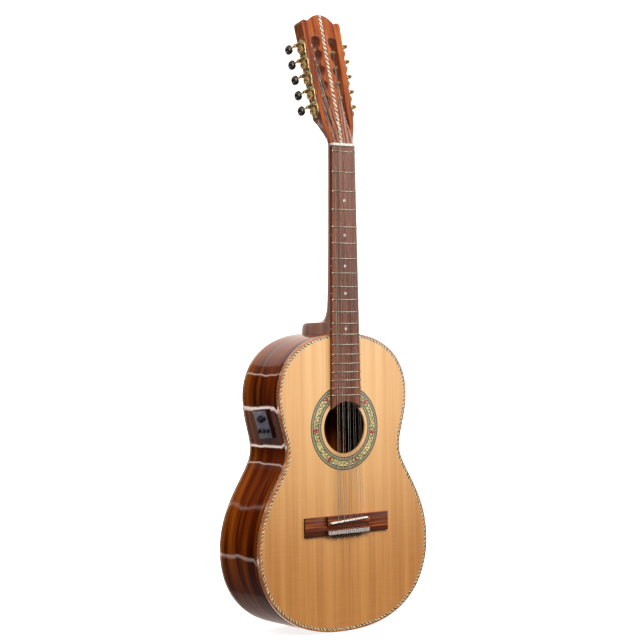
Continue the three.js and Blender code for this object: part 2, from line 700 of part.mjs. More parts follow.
// Each string's places: over the saddle, over the zero fret, through the nut and on its post.
function layStrings() {
  const strings = [];
  STRING_PAIRS.forEach((pair, course) => {
    for (const sign of [-1, 1]) {
      const number = course * 2 + (sign < 0 ? 0 : 1);
      const radius = sign < 0 ? pair.thick : pair.thin;
      const nutX = -pair.nut + sign * PAIR_HALF_NUT;
      const saddleX = -pair.saddle + sign * PAIR_HALF_SADDLE;
      const side = number < TUNERS ? -1 : 1;
      const post = side < 0 ? number : 2 * TUNERS - 1 - number;
      const nutY = BOARD_FACE - FRET_TALL - GAP - radius;
      const postX = 19.5 + post * 0.3;
      strings.push({
        name: `string_${number + 1}`,
        radius, nutX, nutY, saddleX, side, post,
        saddlePoint: new THREE.Vector3(saddleX, -SADDLE_TOP - GAP - radius, saddleZ(saddleX)),
        fretPoint: new THREE.Vector3(nutX * 1.005, nutY, ZERO_FRET_Z),
        nutPoint: new THREE.Vector3(nutX, nutY - 0.1, HEAD_FOOT.z),
        postPoint: new THREE.Vector3(side * postX, POST_OFF - POST_R - 2 * GAP - radius, postUpHead(post)),
      });
    }
  });
  return strings;
}

function makeStrings(strings) {
  const saddleEdge = new THREE.Vector3(0, 0, SADDLE_THICK / 2 + GAP);
  for (const string of strings) {
    const post = string.postPoint.clone().applyMatrix4(head.matrix);
    const section = new THREE.Shape();
    section.absarc(0, 0, string.radius, 0, 2 * Math.PI, false);
    const route = new StringRoute([
      new THREE.Vector3(string.saddleX, TIE_HOLE_Y, STRING_TAIL_Z),
      new THREE.Vector3(string.saddleX, TIE_HOLE_Y, BRIDGE_LOW + 9.6),
      string.saddlePoint.clone().sub(saddleEdge),
      string.saddlePoint.clone().add(saddleEdge),
      string.fretPoint,
      string.nutPoint,
      post,
    ]);
    const steps = route.points.length - 1;
    const options = { steps, curveSegments: 3, extrudePath: route, bevelEnabled: false };
    put(string.name, new THREE.ExtrudeGeometry(section, options), STEEL);
  }
}

// ---------------------------------------------------------------- tuners

const PLATE_OUT = GAP;              // inner face of a tuner plate, out from the head's side
const PLATE_THICK = 1.6;
const EAR_THICK = 2.4;
const SHAFT_R = 1.6;
const COLLAR_R = 2.4;
const EAR_OFFS = [2.6, 18.2];       // depths of the two ears that carry each worm

function tunerPlate(side) {
  const out = (distance) => side * distance;
  const outline = (x0, x1, y0, y1, z0, z1) =>
    box(Math.min(out(x0), out(x1)), Math.max(out(x0), out(x1)), y0, y1, z0, z1);
  const length = postAt(TUNERS - 1) + WORM_RISE + 9;
  const strap = outline(PLATE_OUT, PLATE_OUT + PLATE_THICK, 1.2, 19.6, -3, length);
  const parts = [strap];
  const cuts = [];
  for (let i = 0; i < TUNERS; i++) {
    const worm = postAt(i) + WORM_RISE;
    for (const off of EAR_OFFS) {
      parts.push(outline(PLATE_OUT + 1, WORM_OUT + 3.2, off - EAR_THICK / 2, off + EAR_THICK / 2,
        worm - 3.2, worm + 3.2));
    }
    cuts.push(rod(SHAFT_R + GAP, -5, 30, "y", 8).translate(out(WORM_OUT), 0, worm));
    cuts.push(rod(POST_R + GAP, -6, 6, "x", 10).translate(0, POST_OFF, postAt(i)));
  }
  return cut(joined(parts), cuts);
}

// The worm turns on its own axis, between the ears, and carries the oval knob behind the head.
function wormWithKnob() {
  const inner = EAR_OFFS[0] + EAR_THICK / 2 + GAP;
  const outer = EAR_OFFS[1] - EAR_THICK / 2 - GAP;
  const front = EAR_OFFS[0] - EAR_THICK / 2 - GAP;
  const behind = EAR_OFFS[1] + EAR_THICK / 2 + GAP;
  const shaft = turned([
    [0, front - 1.5], [COLLAR_R, front - 1.5], [COLLAR_R, front], [SHAFT_R, front],
    [SHAFT_R, inner], [WORM_R, inner], [WORM_R, outer], [SHAFT_R, outer], [SHAFT_R, behind],
    [COLLAR_R, behind], [COLLAR_R, behind + 1.2], [1.8, behind + 1.8], [1.8, KNOB_OFF], [0, KNOB_OFF],
  ], "y", 8);
  const knob = new THREE.SphereGeometry(1, 10, 7).scale(5.5, 6.5, 8).translate(0, KNOB_OFF, 0);
  return joined([shaft, knob]);
}

// A string post with its gear; x runs outwards from the head's side.
function roller() {
  const inner = -24.2;
  const gearIn = PLATE_OUT + PLATE_THICK + GAP + 2.6;
  return turned([
    [0, inner], [POST_R, inner], [POST_R, gearIn - 2.6], [4.2, gearIn - 2.6], [4.2, gearIn],
    [GEAR_R, gearIn], [GEAR_R, gearIn + 4.2], [2.4, gearIn + 4.2], [2, gearIn + 5.6], [0, gearIn + 5.6],
  ], "x", 12);
}

function makeTuners() {
  for (const [name, side] of Object.entries(SIDES)) {
    const frame = sideGroups[name];
    put(`tuner_plate_${name}`, tunerPlate(side), GOLD, frame);
    for (let i = 0; i < TUNERS; i++) {
      const worm = put(`tuner_knob_${name}_${i + 1}`, wormWithKnob(), BLACK_PLASTIC, frame);
      worm.position.set(side * WORM_OUT, 0, postAt(i) + WORM_RISE);
      const post = put(`roller_${name}_${i + 1}`, roller(), STEEL, frame);
      post.position.set(0, POST_OFF, postAt(i));
      if (side < 0) post.rotation.z = Math.PI;
    }
  }
}

// ---------------------------------------------------------------- preamp and jack

const PANEL_BOTTOM = 0.5;           // clear of the curved rib
const PANEL_FACE = PANEL_BOTTOM + PANEL_THICK;
const BIG_KNOB = { y: 0.2, z: 9, radius: 6, tall: 4.2 };
const BUTTON = { y: 10.8, z: 9, radius: BUTTON_R };
const SMALL_KNOBS = [-12, 0, 12].map((y) => ({ y, z: -10.3, radius: 3.5, tall: 3.2 }));

function makePreamp() {
  const lip = 3.2;
  const wide = PANEL_WIDE / 2;
  const tall = PANEL_TALL / 2;
  const panel = box(PANEL_BOTTOM, PANEL_FACE, -wide, wide, -tall, tall);
  const module = box(-20, PANEL_BOTTOM + 1, -wide + lip, wide - lip, -tall + lip, tall - lip);
  const bore = ({ y, z }, radius, floor) =>
    rod(radius, floor, PANEL_FACE + 1, "x", 12).translate(0, y, z);
  const cuts = [BIG_KNOB, ...SMALL_KNOBS].map((knob) => bore(knob, KNOB_SHAFT_R + GAP, PANEL_FACE - 7));
  cuts.push(bore(BUTTON, BUTTON.radius + GAP, PANEL_FACE - 5.5));
  put("preamp_panel", cut(joined([panel, module]), cuts), PANEL_METAL, panelFrame);

  const control = ({ radius, tall }) => turned([
    [0, -6], [KNOB_SHAFT_R, -6], [KNOB_SHAFT_R, GAP], [radius, GAP], [radius, tall - 0.8],
    [radius - 0.8, tall], [0, tall],
  ], "x", 14);
  const place = (name, knob) =>
    put(name, control(knob), BLACK_PLASTIC, panelFrame).position.set(PANEL_FACE, knob.y, knob.z);
  place("volume_knob", BIG_KNOB);
  SMALL_KNOBS.forEach((knob, i) => place(`tone_knob_${i + 1}`, knob));

  const button = turned([
    [0, -3], [BUTTON.radius, -3], [BUTTON.radius, 1.4], [BUTTON.radius - 0.6, 2], [0, 2],
  ], "x", 14);
  put("preamp_button", button, BLACK_PLASTIC, panelFrame).position.set(PANEL_FACE, BUTTON.y, BUTTON.z);
}

function makeJack() {
  const flangeR = 8.6;
  const socket = turned([
    [0, -30], [JACK_R, -30], [JACK_R, GAP], [flangeR, GAP], [flangeR, 2.4], [5, 2.4],
    [5, 3.2], [JACK_BORE_R, 3.2], [JACK_BORE_R, -27], [0, -27],
  ], "x", 14);
  put("output_jack", socket, STEEL, jackFrame);
}

// ---------------------------------------------------------------- assembly

const strings = layStrings();
makeSoundboard();
makeRosette();
makeBack();
makeBindings();
makeRibs();
makeTail();
makeLinings();
makeTopBracing();
makeBackBracing();
makeBridge(strings);
makeFingerboard();
makeNut(strings);
makeNeck(strings);
makeStrings(strings);
makeTuners();
makePreamp();
makeJack();

export default instrument;
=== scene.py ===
import json
from math import asin, atan2, copysign, cos, hypot, pi, radians, sin, sqrt

import bmesh
import bpy
import numpy as np
from mathutils import Matrix, Vector
from mathutils.geometry import tessellate_polygon


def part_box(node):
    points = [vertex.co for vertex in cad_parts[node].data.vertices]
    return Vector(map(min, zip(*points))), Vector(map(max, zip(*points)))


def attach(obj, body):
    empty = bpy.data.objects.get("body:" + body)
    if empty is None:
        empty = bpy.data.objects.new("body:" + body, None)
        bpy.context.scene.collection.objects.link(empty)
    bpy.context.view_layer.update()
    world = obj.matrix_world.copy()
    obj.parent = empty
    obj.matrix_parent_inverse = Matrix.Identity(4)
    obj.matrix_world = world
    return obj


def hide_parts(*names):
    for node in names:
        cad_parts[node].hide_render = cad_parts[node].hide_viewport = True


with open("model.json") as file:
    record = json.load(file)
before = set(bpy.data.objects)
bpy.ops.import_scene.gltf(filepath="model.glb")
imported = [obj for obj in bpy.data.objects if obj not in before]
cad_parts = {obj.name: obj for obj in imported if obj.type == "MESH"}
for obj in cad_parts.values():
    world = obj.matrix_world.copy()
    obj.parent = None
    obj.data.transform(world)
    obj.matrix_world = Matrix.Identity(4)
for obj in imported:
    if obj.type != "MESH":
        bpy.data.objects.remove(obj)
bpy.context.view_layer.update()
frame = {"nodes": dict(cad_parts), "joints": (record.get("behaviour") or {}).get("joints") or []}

# Ten-string viola caipira. Lengths below are millimetres in the instrument's own frame: x towards
# the treble side, depth behind the soundboard's face, z up the neck from the tail. Every mesh is
# written in metres in the row frame, and the camera, stage and lights are placed in metres too.

MM = 0.001
FACE_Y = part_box("soundboard")[0].y

# ---------------------------------------------------------------- driving sizes

BODY_LENGTH = 473.6
SATIN_BELOW = 262  # the height to which the ribs are less glossy
TAIL_DEPTH = 112.0
NECK_DEPTH = 94.0
HOLE_Z = 323.4
HOLE_R = 41.3
SCALE = 580.0
ZERO_FRET_Z = 761.4
FRETS = 19
BOARD_FACE = -7.0
BOARD_TOP_Z = 770.3
NUT_TOP = -9.3
HEAD_TILT = radians(14.33)
HEAD_FOOT = (0.0, -3.0, 774.4)
HEAD_THICK = 22.2
VENEER = 2.0
HEAD_HALF_LOW = 33.0
HEAD_SIDE_LOW = 48.0
HEAD_HALF_TOP = 39.2
HEAD_SIDE_TOP = 205.0
HEAD_CREST = 219.5
HEAD_FOOT_HALF = 22.8
HEAD_DIP = 26.0
TUNERS = 5
TUNER_PITCH = 26.0
FIRST_POST = 8.0
POST_OFF = 10.5
POST_R = 3.0
WORM_RISE = 9.8
WORM_OUT = 7.2
SIDE_LEAN = atan2(HEAD_HALF_TOP - HEAD_HALF_LOW, HEAD_SIDE_TOP - HEAD_SIDE_LOW)

# widths of the bands at the rim, from the edge inwards and from the edge down the side
BINDING_WIDE = 2.6
PURFLING_TO = 6.3
BINDING_DEEP = 3.2
SIDE_ROPE_TO = 5.4

BODY = Matrix.Translation((0, FACE_Y, 0)) @ Matrix.Scale(MM, 4)
HEAD = BODY @ Matrix.Translation(HEAD_FOOT) @ Matrix.Rotation(-HEAD_TILT, 4, "X")
SIDES = {"bass": -1, "treble": 1}


def side_frame(side):
    place = Matrix.Translation((side * HEAD_HALF_LOW, 0, HEAD_SIDE_LOW))
    return HEAD @ place @ Matrix.Rotation(side * SIDE_LEAN, 4, "Y")


def joint(name):
    return next(j for j in frame["joints"] if j["name"] == name)


def axis_frame(name, second):
    """A millimetre frame at a joint: its x runs along the joint's axis and its y along second."""
    row = joint(name)
    x = Vector(row["axis"]).normalized()
    y = (Vector(second) - x * x.dot(Vector(second))).normalized()
    z = x.cross(y)
    turn = Matrix((x, y, z)).transposed().to_4x4()
    return Matrix.Translation(row["pos_m"]) @ turn @ Matrix.Scale(MM, 4)


# ---------------------------------------------------------------- materials


def rgb(red, green, blue):
    """A colour given as the eye reads it, 0 to 255, as the linear values that shaders use."""
    def linear(c):
        c /= 255
        return c / 12.92 if c <= 0.04045 else ((c + 0.055) / 1.055) ** 2.4
    return (linear(red), linear(green), linear(blue), 1.0)


class Nodes:
    """A node tree built node by node. A value may be a number, a colour or another node's output."""

    def __init__(self, tree):
        self.tree = tree

    def feed(self, socket, value):
        if isinstance(value, bpy.types.NodeSocket):
            self.tree.links.new(value, socket)
        else:
            socket.default_value = value

    def add(self, kind, **settings):
        node = self.tree.nodes.new("ShaderNode" + kind)
        for key, value in settings.items():
            setattr(node, key, value)
        return node

    def parts(self, vector):
        node = self.add("SeparateXYZ")
        self.feed(node.inputs[0], vector)
        return node.outputs

    def math(self, operation, a, b=0.0, c=0.0):
        node = self.add("Math", operation=operation)
        for socket, value in zip(node.inputs, (a, b, c)):
            self.feed(socket, value)
        return node.outputs[0]

    def ramp(self, fac, stops, interpolation="LINEAR"):
        node = self.add("ValToRGB")
        node.color_ramp.interpolation = interpolation
        elements = node.color_ramp.elements
        while len(elements) < len(stops):
            elements.new(0.5)
        for element, (place, color) in zip(elements, stops):
            element.position = place
            element.color = color
        self.feed(node.inputs["Fac"], fac)
        return node.outputs["Color"]

    def mix(self, fac, a, b):
        node = self.add("Mix", data_type="RGBA")
        self.feed(node.inputs["Factor"], fac)
        self.feed(node.inputs[6], a)
        self.feed(node.inputs[7], b)
        return node.outputs[2]


class Shader(Nodes):
    """A principled material."""

    def __init__(self, name, roughness=0.4, metallic=0.0, coat=0.0, coat_roughness=0.05, **sockets):
        self.material = bpy.data.materials.new(name)
        self.material.use_nodes = True
        super().__init__(self.material.node_tree)
        self.bsdf = self.tree.nodes["Principled BSDF"]
        self.set(**{"Roughness": roughness, "Metallic": metallic, "Coat Weight": coat,
                    "Coat Roughness": coat_roughness})
        for name, value in sockets.items():
            self.bsdf.inputs[name.replace("_", " ")].default_value = value

    def paint(self, color):
        self.feed(self.bsdf.inputs["Base Color"], color)

    def set(self, **values):
        for name, value in values.items():
            self.feed(self.bsdf.inputs[name], value)

    def coords(self, scale, source="Object"):
        source_node = self.add("TexCoord")
        mapping = self.add("Mapping")
        self.feed(mapping.inputs["Vector"], source_node.outputs[source])
        mapping.inputs["Scale"].default_value = scale
        return mapping.outputs["Vector"]

    def noise(self, vector, detail=3.0, roughness=0.5, distortion=0.0):
        node = self.add("TexNoise")
        self.feed(node.inputs["Vector"], vector)
        node.inputs["Scale"].default_value = 1.0
        node.inputs["Detail"].default_value = detail
        node.inputs["Roughness"].default_value = roughness
        node.inputs["Distortion"].default_value = distortion
        return node.outputs["Fac"]

    def bump(self, height, strength=0.2, distance=0.0002):
        node = self.add("Bump")
        node.inputs["Strength"].default_value = strength
        node.inputs["Distance"].default_value = distance
        self.feed(node.inputs["Height"], height)
        self.set(Normal=node.outputs["Normal"])

    def uneven(self, fac, low, high):
        """Roughness that wanders between two values."""
        node = self.add("MapRange")
        self.feed(node.inputs["Value"], fac)
        node.inputs["To Min"].default_value = low
        node.inputs["To Max"].default_value = high
        self.set(Roughness=node.outputs["Result"])


def wood(name, dark, middle, light, fine, broad, streaks=0.5, **finish):
    """Grain as two stretched noises: fine pores and lines, and broad streaks of colour."""
    s = Shader(name, **finish)
    lines = s.noise(s.coords(fine), detail=4, roughness=0.6)
    bands = s.noise(s.coords(broad), detail=3, roughness=0.55, distortion=0.4)
    both = s.math("ADD", s.math("MULTIPLY", bands, streaks), s.math("MULTIPLY", lines, 1 - streaks))
    color = s.ramp(both, [(0.34, rgb(*dark)), (0.5, rgb(*middle)), (0.64, rgb(*light))])
    s.paint(color)
    s.bump(lines, 0.12, 0.0001)
    s.uneven(lines, finish.get("roughness", 0.4) * 0.85, finish.get("roughness", 0.4) * 1.2)
    return s


def spruce():
    """Book-matched grain: both halves mirror at the middle. The colour is painted darker towards the tail and
    lighter towards the neck, as painted shade and painted light of how the lamps fall along the top.
    """
    s = Shader("spruce_top", roughness=0.34, coat=0.35, coat_roughness=0.18)
    across, _, along = s.parts(s.coords((1, 1, 1)))
    join = s.add("CombineXYZ")
    s.feed(join.inputs[0], s.math("ABSOLUTE", across))
    s.feed(join.inputs[2], along)

    def stretched(x, z, **kinds):
        mapping = s.add("Mapping")
        s.feed(mapping.inputs["Vector"], join.outputs[0])
        mapping.inputs["Scale"].default_value = (x, 1, z)
        return s.noise(mapping.outputs[0], **kinds)

    lines = stretched(880, 3.5, detail=2, roughness=0.5)
    bands = stretched(46, 1.2, detail=3, roughness=0.6)
    silk = stretched(26, 520, detail=2)
    clouds = stretched(9, 5, detail=2)
    grain = s.math("ADD", s.math("MULTIPLY", lines, 0.4), s.math("MULTIPLY", bands, 0.6))
    # painted light and shade: a lighter ramp for the upper top and a darker one for the lower top, blended by
    # height below
    painted_light_upper = s.ramp(grain, [(0.36, rgb(219, 158, 92)), (0.48, rgb(231, 172, 105)), (0.6, rgb(240, 188, 123))])
    painted_shade_lower = s.ramp(grain, [(0.36, rgb(164, 98, 38)), (0.48, rgb(184, 117, 50)), (0.6, rgb(202, 136, 66))])
    rise = s.add("MapRange", interpolation_type="SMOOTHSTEP")
    s.feed(rise.inputs["Value"], s.math("ADD", along, s.math("MULTIPLY", clouds, 0.08)))
    rise.inputs["From Min"].default_value = 0.10
    rise.inputs["From Max"].default_value = 0.42
    color = s.mix(rise.outputs["Result"], painted_shade_lower, painted_light_upper)
    color = s.mix(s.math("MULTIPLY", silk, 0.13), color, rgb(250, 206, 148))
    s.paint(color)
    s.bump(lines, 0.05, 0.0001)
    s.uneven(silk, 0.3, 0.42)
    return s


def rosewood(name, gloss, along=(3.5, 62, 3.5)):
    """Wide soft streaks that run along the rib, under a clear gloss whose face is a little wavy and rolls
    off towards the soundboard."""
    s = Shader(name, roughness=0.3, coat=gloss, coat_roughness=0.012, Specular_IOR_Level=0.0)
    wave = s.noise(s.coords((7, 17, 7)), detail=1)
    depth = s.math("SUBTRACT", s.parts(s.coords((1, 1, 1)))[1], FACE_Y + SIDE_ROPE_TO * MM)
    near = s.math("SUBTRACT", 1.0, s.math("MINIMUM", s.math("DIVIDE", depth, 9 * MM), 1.0))
    roll = s.math("MULTIPLY", s.math("MULTIPLY", near, near), -0.34)
    skin = s.add("Bump")
    skin.inputs["Strength"].default_value = 1.0
    skin.inputs["Distance"].default_value = 0.0026
    s.feed(skin.inputs["Height"], s.math("ADD", wave, roll))
    s.set(**{"Coat Normal": skin.outputs["Normal"]})
    wide = s.noise(s.coords(along), detail=3, roughness=0.55, distortion=0.35)
    fine = s.noise(s.coords([2.6 * a if a < 9 else 6.8 * a for a in along]), detail=3, roughness=0.6)
    warm = s.noise(s.coords((7, 16, 7)), detail=2)
    grain = s.math("ADD", s.math("MULTIPLY", wide, 0.8), s.math("MULTIPLY", fine, 0.2))
    color = s.ramp(grain, [(0.32, rgb(34, 10, 3)), (0.42, rgb(84, 30, 7)), (0.54, rgb(134, 62, 14)),
                           (0.68, rgb(176, 94, 24))])
    color = s.mix(s.math("MULTIPLY", s.ramp(warm, [(0.4, (0, 0, 0, 1)), (0.62, (1, 1, 1, 1))]), 0.45), color,
                  rgb(100, 30, 6))
    s.paint(color)
    return s


def rope(name, pitch, slant, light, dark, extra, edge, cover=0.46, border=0.4, chevron=False, **finish):
    """A twisted line of light and dark slips; u runs along it in metres and v across it, 0 to 1."""
    light, dark, extra, edge = (rgb(*c) for c in (light, dark, extra, edge))
    s = Shader(name, **finish)
    u, v, _ = s.parts(s.coords((1, 1, 1), source="UV"))
    off_middle = s.math("SUBTRACT", v, 0.5)
    across = s.math("ABSOLUTE", off_middle) if chevron else off_middle
    loose = s.math("MULTIPLY", s.noise(s.coords((260, 260, 260)), detail=1), 0.9)
    place = s.math("ADD", s.math("DIVIDE", u, pitch * MM), loose)
    turn = s.math("FRACT", s.math("ADD", place, s.math("MULTIPLY", across, slant)))
    slips = s.ramp(turn, [(0.0, dark), (cover, light), (0.9, extra)], "CONSTANT")
    shade = s.noise(s.coords((900, 900, 900)), detail=2)
    slips = s.mix(s.math("MULTIPLY", shade, 0.2), slips, extra)
    at_edge = s.math("GREATER_THAN", s.math("ABSOLUTE", off_middle), border)
    s.paint(s.mix(at_edge, slips, edge))
    return s


def leafy(name):
    """The ground of the rosette's band: small leaves and shoots of four woods on a cream one."""
    s = Shader(name, roughness=0.34, coat=0.35, coat_roughness=0.18)
    place = s.coords((1, 0.001, 1))
    cell = s.add("TexVoronoi", feature="F1")
    s.feed(cell.inputs["Vector"], place)
    cell.inputs["Scale"].default_value = 430
    pick = s.parts(cell.outputs["Color"])[0]
    leaves = s.ramp(pick, [(0.0, rgb(238, 222, 158)), (0.36, rgb(170, 158, 72)), (0.5, rgb(84, 100, 52)),
                           (0.64, rgb(230, 200, 120)), (0.82, rgb(44, 64, 44)), (0.95, rgb(160, 60, 40))],
                    "CONSTANT")
    gap = s.math("GREATER_THAN", cell.outputs["Distance"], 0.52)
    s.paint(s.mix(gap, leaves, rgb(226, 208, 142)))
    return s


def plain(name, color, other, scale=60.0, amount=0.5, bump=0.0, **finish):
    """A finish whose colour and gloss wander a little."""
    s = Shader(name, **finish)
    cloud = s.noise(s.coords((scale, scale, scale)), detail=4, roughness=0.6)
    s.paint(s.mix(s.math("MULTIPLY", cloud, amount), rgb(*color), rgb(*other)))
    base = finish.get("roughness", 0.4)
    s.uneven(cloud, base * 0.8, base * 1.25)
    if bump:
        s.bump(s.noise(s.coords((scale * 12, scale * 12, scale * 12)), detail=3), bump, 0.0001)
    return s


def engraved(name, color, groove):
    s = Shader(name, roughness=0.28, metallic=1.0)
    cell = s.add("TexVoronoi", feature="DISTANCE_TO_EDGE")
    s.feed(cell.inputs["Vector"], s.coords((340, 340, 340)))
    cut = s.math("LESS_THAN", cell.outputs["Distance"], 0.09)
    cloud = s.noise(s.coords((150, 150, 150)), detail=3)
    color, groove = rgb(*color), rgb(*groove)
    worn = s.mix(s.math("MULTIPLY", cloud, 0.5), color, groove)
    s.paint(s.mix(s.math("MULTIPLY", cut, 0.7), worn, groove))
    s.bump(cell.outputs["Distance"], 0.6, 0.0004)
    s.uneven(cloud, 0.2, 0.42)
    return s


def wound(name, color, pitch):
    s = Shader(name, roughness=0.32, metallic=1.0)
    z = s.parts(s.coords((1, 1, 1)))[2]
    wave = s.math("SINE", s.math("MULTIPLY", z, 2 * pi / (pitch * MM)))
    s.paint(s.mix(s.math("MULTIPLY_ADD", wave, 0.25, 0.3), rgb(*color), rgb(120, 118, 112)))
    s.bump(wave, 0.5, 0.0001)
    return s


MATERIALS = {
    "spruce": spruce(),
    "rosewood": rosewood("rosewood_gloss", 1.0),
    "rosewood_low": rosewood("rosewood_satin", 0.22),
    "rosewood_back": rosewood("rosewood_back", 0.6, along=(62, 3.5, 3.5)),
    "bridge": wood("bridge_wood", (26, 7, 3), (100, 42, 18), (172, 88, 34), (18, 700, 900),
                   (5, 60, 210), 0.75, roughness=0.42, Specular_IOR_Level=0.3),
    # end grain and painted shade: the bridge's sideways faces are coloured near black, partly for their end
    # grain and partly as painted shade on the walls beside the raised block
    "bridge_ends_grain_and_shade": wood("bridge_end_grain_and_shade", (18, 8, 8), (34, 16, 14), (54, 28, 22), (900, 900, 900),
                       (120, 120, 120), 0.5, roughness=0.5),
    "board": wood("fingerboard_wood", (70, 30, 20), (122, 68, 48), (164, 102, 74), (900, 900, 14),
                  (110, 110, 3), 0.6, roughness=0.42),
    "board_edge": wood("fingerboard_edge", (70, 34, 14), (112, 60, 26), (142, 82, 40), (900, 900, 14),
                       (90, 90, 3), 0.5, roughness=0.4),
    "binding": wood("binding_wood", (118, 56, 16), (170, 92, 34), (200, 122, 58), (60, 500, 60),
                    (12, 60, 12), 0.4, roughness=0.25, coat=0.7, coat_roughness=0.06),
    "mahogany": wood("mahogany", (132, 90, 76), (174, 128, 112), (202, 158, 140), (700, 700, 14), (60, 60, 3),
                     0.45, roughness=0.34, coat=0.4, coat_roughness=0.15),
    "veneer": wood("head_veneer", (84, 28, 8), (150, 68, 22), (190, 102, 40), (900, 200, 10),
                   (150, 20, 6), 0.66, roughness=0.3, coat=0.2, coat_roughness=0.1, Specular_IOR_Level=0.25),
    "head_wood": wood("head_wood", (88, 34, 10), (136, 66, 26), (174, 98, 44), (600, 600, 10),
                      (110, 110, 5), 0.55, roughness=0.34, coat=0.25, coat_roughness=0.12),
    # painted light: the slot walls get a lighter copy of the head wood, to lift the shade that falls inside
    # the slots
    "slot_wall_painted_light": wood("slot_wall_painted_light", (104, 44, 16), (152, 76, 34), (184, 104, 52), (600, 600, 10),
                      (110, 110, 5), 0.6, roughness=0.5),
    "bracing": wood("bare_spruce", (104, 70, 42), (134, 96, 60), (160, 120, 80), (500, 500, 40),
                    (50, 50, 10), 0.5, roughness=0.85),
    "top_rope": rope("top_purfling", 6.6, 0.7, (232, 214, 178), (34, 24, 18), (170, 140, 96),
                     (202, 152, 92), cover=0.5, border=0.42, roughness=0.32, coat=0.4, coat_roughness=0.15),
    "side_rope": rope("side_purfling", 5.0, 0.8, (226, 206, 172), (24, 15, 11), (130, 108, 84),
                      (60, 28, 12), border=0.42, roughness=0.3, coat=0.6, coat_roughness=0.05),
    "head_rope": rope("head_inlay", 8.0, 0.8, (234, 222, 202), (74, 48, 34), (176, 144, 114),
                      (134, 80, 46), cover=0.44, border=0.44, roughness=0.3, coat=0.4, coat_roughness=0.12),
    "tie_rope": rope("tie_inlay", 3.9, 1.0, (206, 196, 190), (104, 84, 80), (154, 136, 128),
                     (44, 28, 26), cover=0.42, border=0.4, chevron=True, roughness=0.35),
    "border": rope("rosette_border", 3.2, 0.0, (128, 116, 76), (78, 70, 42), (224, 212, 178),
                   (40, 34, 20), cover=0.42, border=0.32, roughness=0.34, coat=0.35, coat_roughness=0.18),
    "band": leafy("rosette_ground"),
    "thread": plain("rosette_thread", (52, 46, 32), (30, 26, 18), 200, 0.6, roughness=0.34, coat=0.35),
    "heart": plain("flower_heart", (226, 196, 110), (180, 150, 80), 300, 0.6, roughness=0.34),
    "petal": plain("flower_red", (186, 34, 32), (126, 18, 20), 260, 0.7, roughness=0.34, coat=0.35),
    "leaf": plain("leaf_green", (74, 108, 62), (38, 68, 46), 260, 0.8, roughness=0.34, coat=0.35),
    "olive": plain("leaf_olive", (158, 144, 60), (108, 98, 40), 260, 0.8, roughness=0.34, coat=0.35),
    "bone": plain("bone", (247, 243, 232), (228, 218, 192), 150, 0.5, roughness=0.3),
    "dot": plain("shell_dot", (240, 238, 230), (206, 210, 206), 400, 0.6, roughness=0.2),
    "fret": plain("fret_metal", (206, 196, 178), (150, 138, 118), 300, 0.5, roughness=0.25, metallic=1.0),
    "steel": plain("plain_steel", (182, 176, 166), (122, 116, 108), 300, 0.5, roughness=0.28, metallic=1.0),
    # partly painted shade: the ball ends are coloured dark brown, which also stands in for the shade below
    # the tie block
    "dark_knot": plain("string_end_and_shade", (44, 26, 20), (90, 66, 44), 600, 0.6, roughness=0.45, metallic=0.3),
    "wound": wound("wound_string", (176, 164, 144), 0.9),
    "gold": plain("gold_plate", (222, 192, 138), (108, 82, 46), 190, 0.9, bump=0.15, roughness=0.22,
                  metallic=1.0),
    "engraved": engraved("gold_engraved", (228, 206, 162), (72, 54, 30)),
    "brass_post": plain("brass_post", (226, 190, 132), (170, 128, 72), 300, 0.6, roughness=0.45,
                        metallic=0.7),
    "black": plain("black_button", (16, 16, 18), (42, 42, 46), 160, 0.6, roughness=0.22, coat=0.5),
    "knob": plain("black_knob", (8, 8, 10), (20, 20, 24), 400, 0.6, bump=0.2, roughness=0.36,
                  Specular_IOR_Level=0.15),
    "panel": plain("panel_face", (112, 114, 136), (90, 92, 114), 40, 0.6, bump=0.1, roughness=0.42,
                   metallic=0.2),
    "panel_edge": plain("panel_edge", (12, 12, 16), (30, 30, 34), 90, 0.5, roughness=0.3),
    "mark": plain("pointer_mark", (190, 194, 200), (150, 156, 164), 300, 0.5, roughness=0.4),
    "jack": plain("jack_nickel", (200, 200, 198), (140, 140, 138), 200, 0.5, roughness=0.22, metallic=1.0),
}


def material(key):
    return MATERIALS[key].material


# ---------------------------------------------------------------- mesh helpers


def linked(name, data):
    """An object in the scene that shows this data."""
    made = bpy.data.objects.new(name, data)
    bpy.context.scene.collection.objects.link(made)
    return made


def outward_mesh(name, points, faces, place):
    """A mesh from points in a millimetre frame, with all faces turned outwards."""
    mesh = bpy.data.meshes.new(name)
    mesh.from_pydata([place @ Vector(p) for p in points], [], faces)
    bm = bmesh.new()
    bm.from_mesh(mesh)
    bmesh.ops.recalc_face_normals(bm, faces=bm.faces)
    bm.to_mesh(mesh)
    bm.free()
    return mesh


def finish_piece(name, points, faces, key, place=BODY, body="instrument", slot=None, uvs=None, smooth=35.0,
                 stands_for=()):
    """Makes one piece from points in a millimetre frame. uvs, if given, is one pair for each point."""
    mesh = outward_mesh(name, points, faces, place)
    if uvs is not None:
        layer = mesh.uv_layers.new(name="along")
        for loop in mesh.loops:
            layer.data[loop.index].uv = uvs[loop.vertex_index]
    mesh.materials.append(material(key))
    piece = linked(name, mesh)
    shade(piece, smooth)
    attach(piece, body)
    if stands_for:
        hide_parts(*stands_for)
    return piece


def end_faces(piece, key):
    """Gives the faces that look sideways, along x, a material of their own."""
    piece.data.materials.append(material(key))
    for polygon in piece.data.polygons:
        if abs(polygon.normal.x) > 0.8:
            polygon.material_index = 1


def inside_faces(piece, key, to_head):
    """Gives the walls of the two slots a material of their own: a lighter copy of the head wood, painted
    light that lifts the shade inside the slots.
    """
    piece.data.materials.append(material(key))
    for polygon in piece.data.polygons:
        centre = to_head @ polygon.center
        if 4 < abs(centre.x) < 27 and 21 < centre.z < 182 and abs(polygon.normal.y) < 0.7:
            polygon.material_index = 1


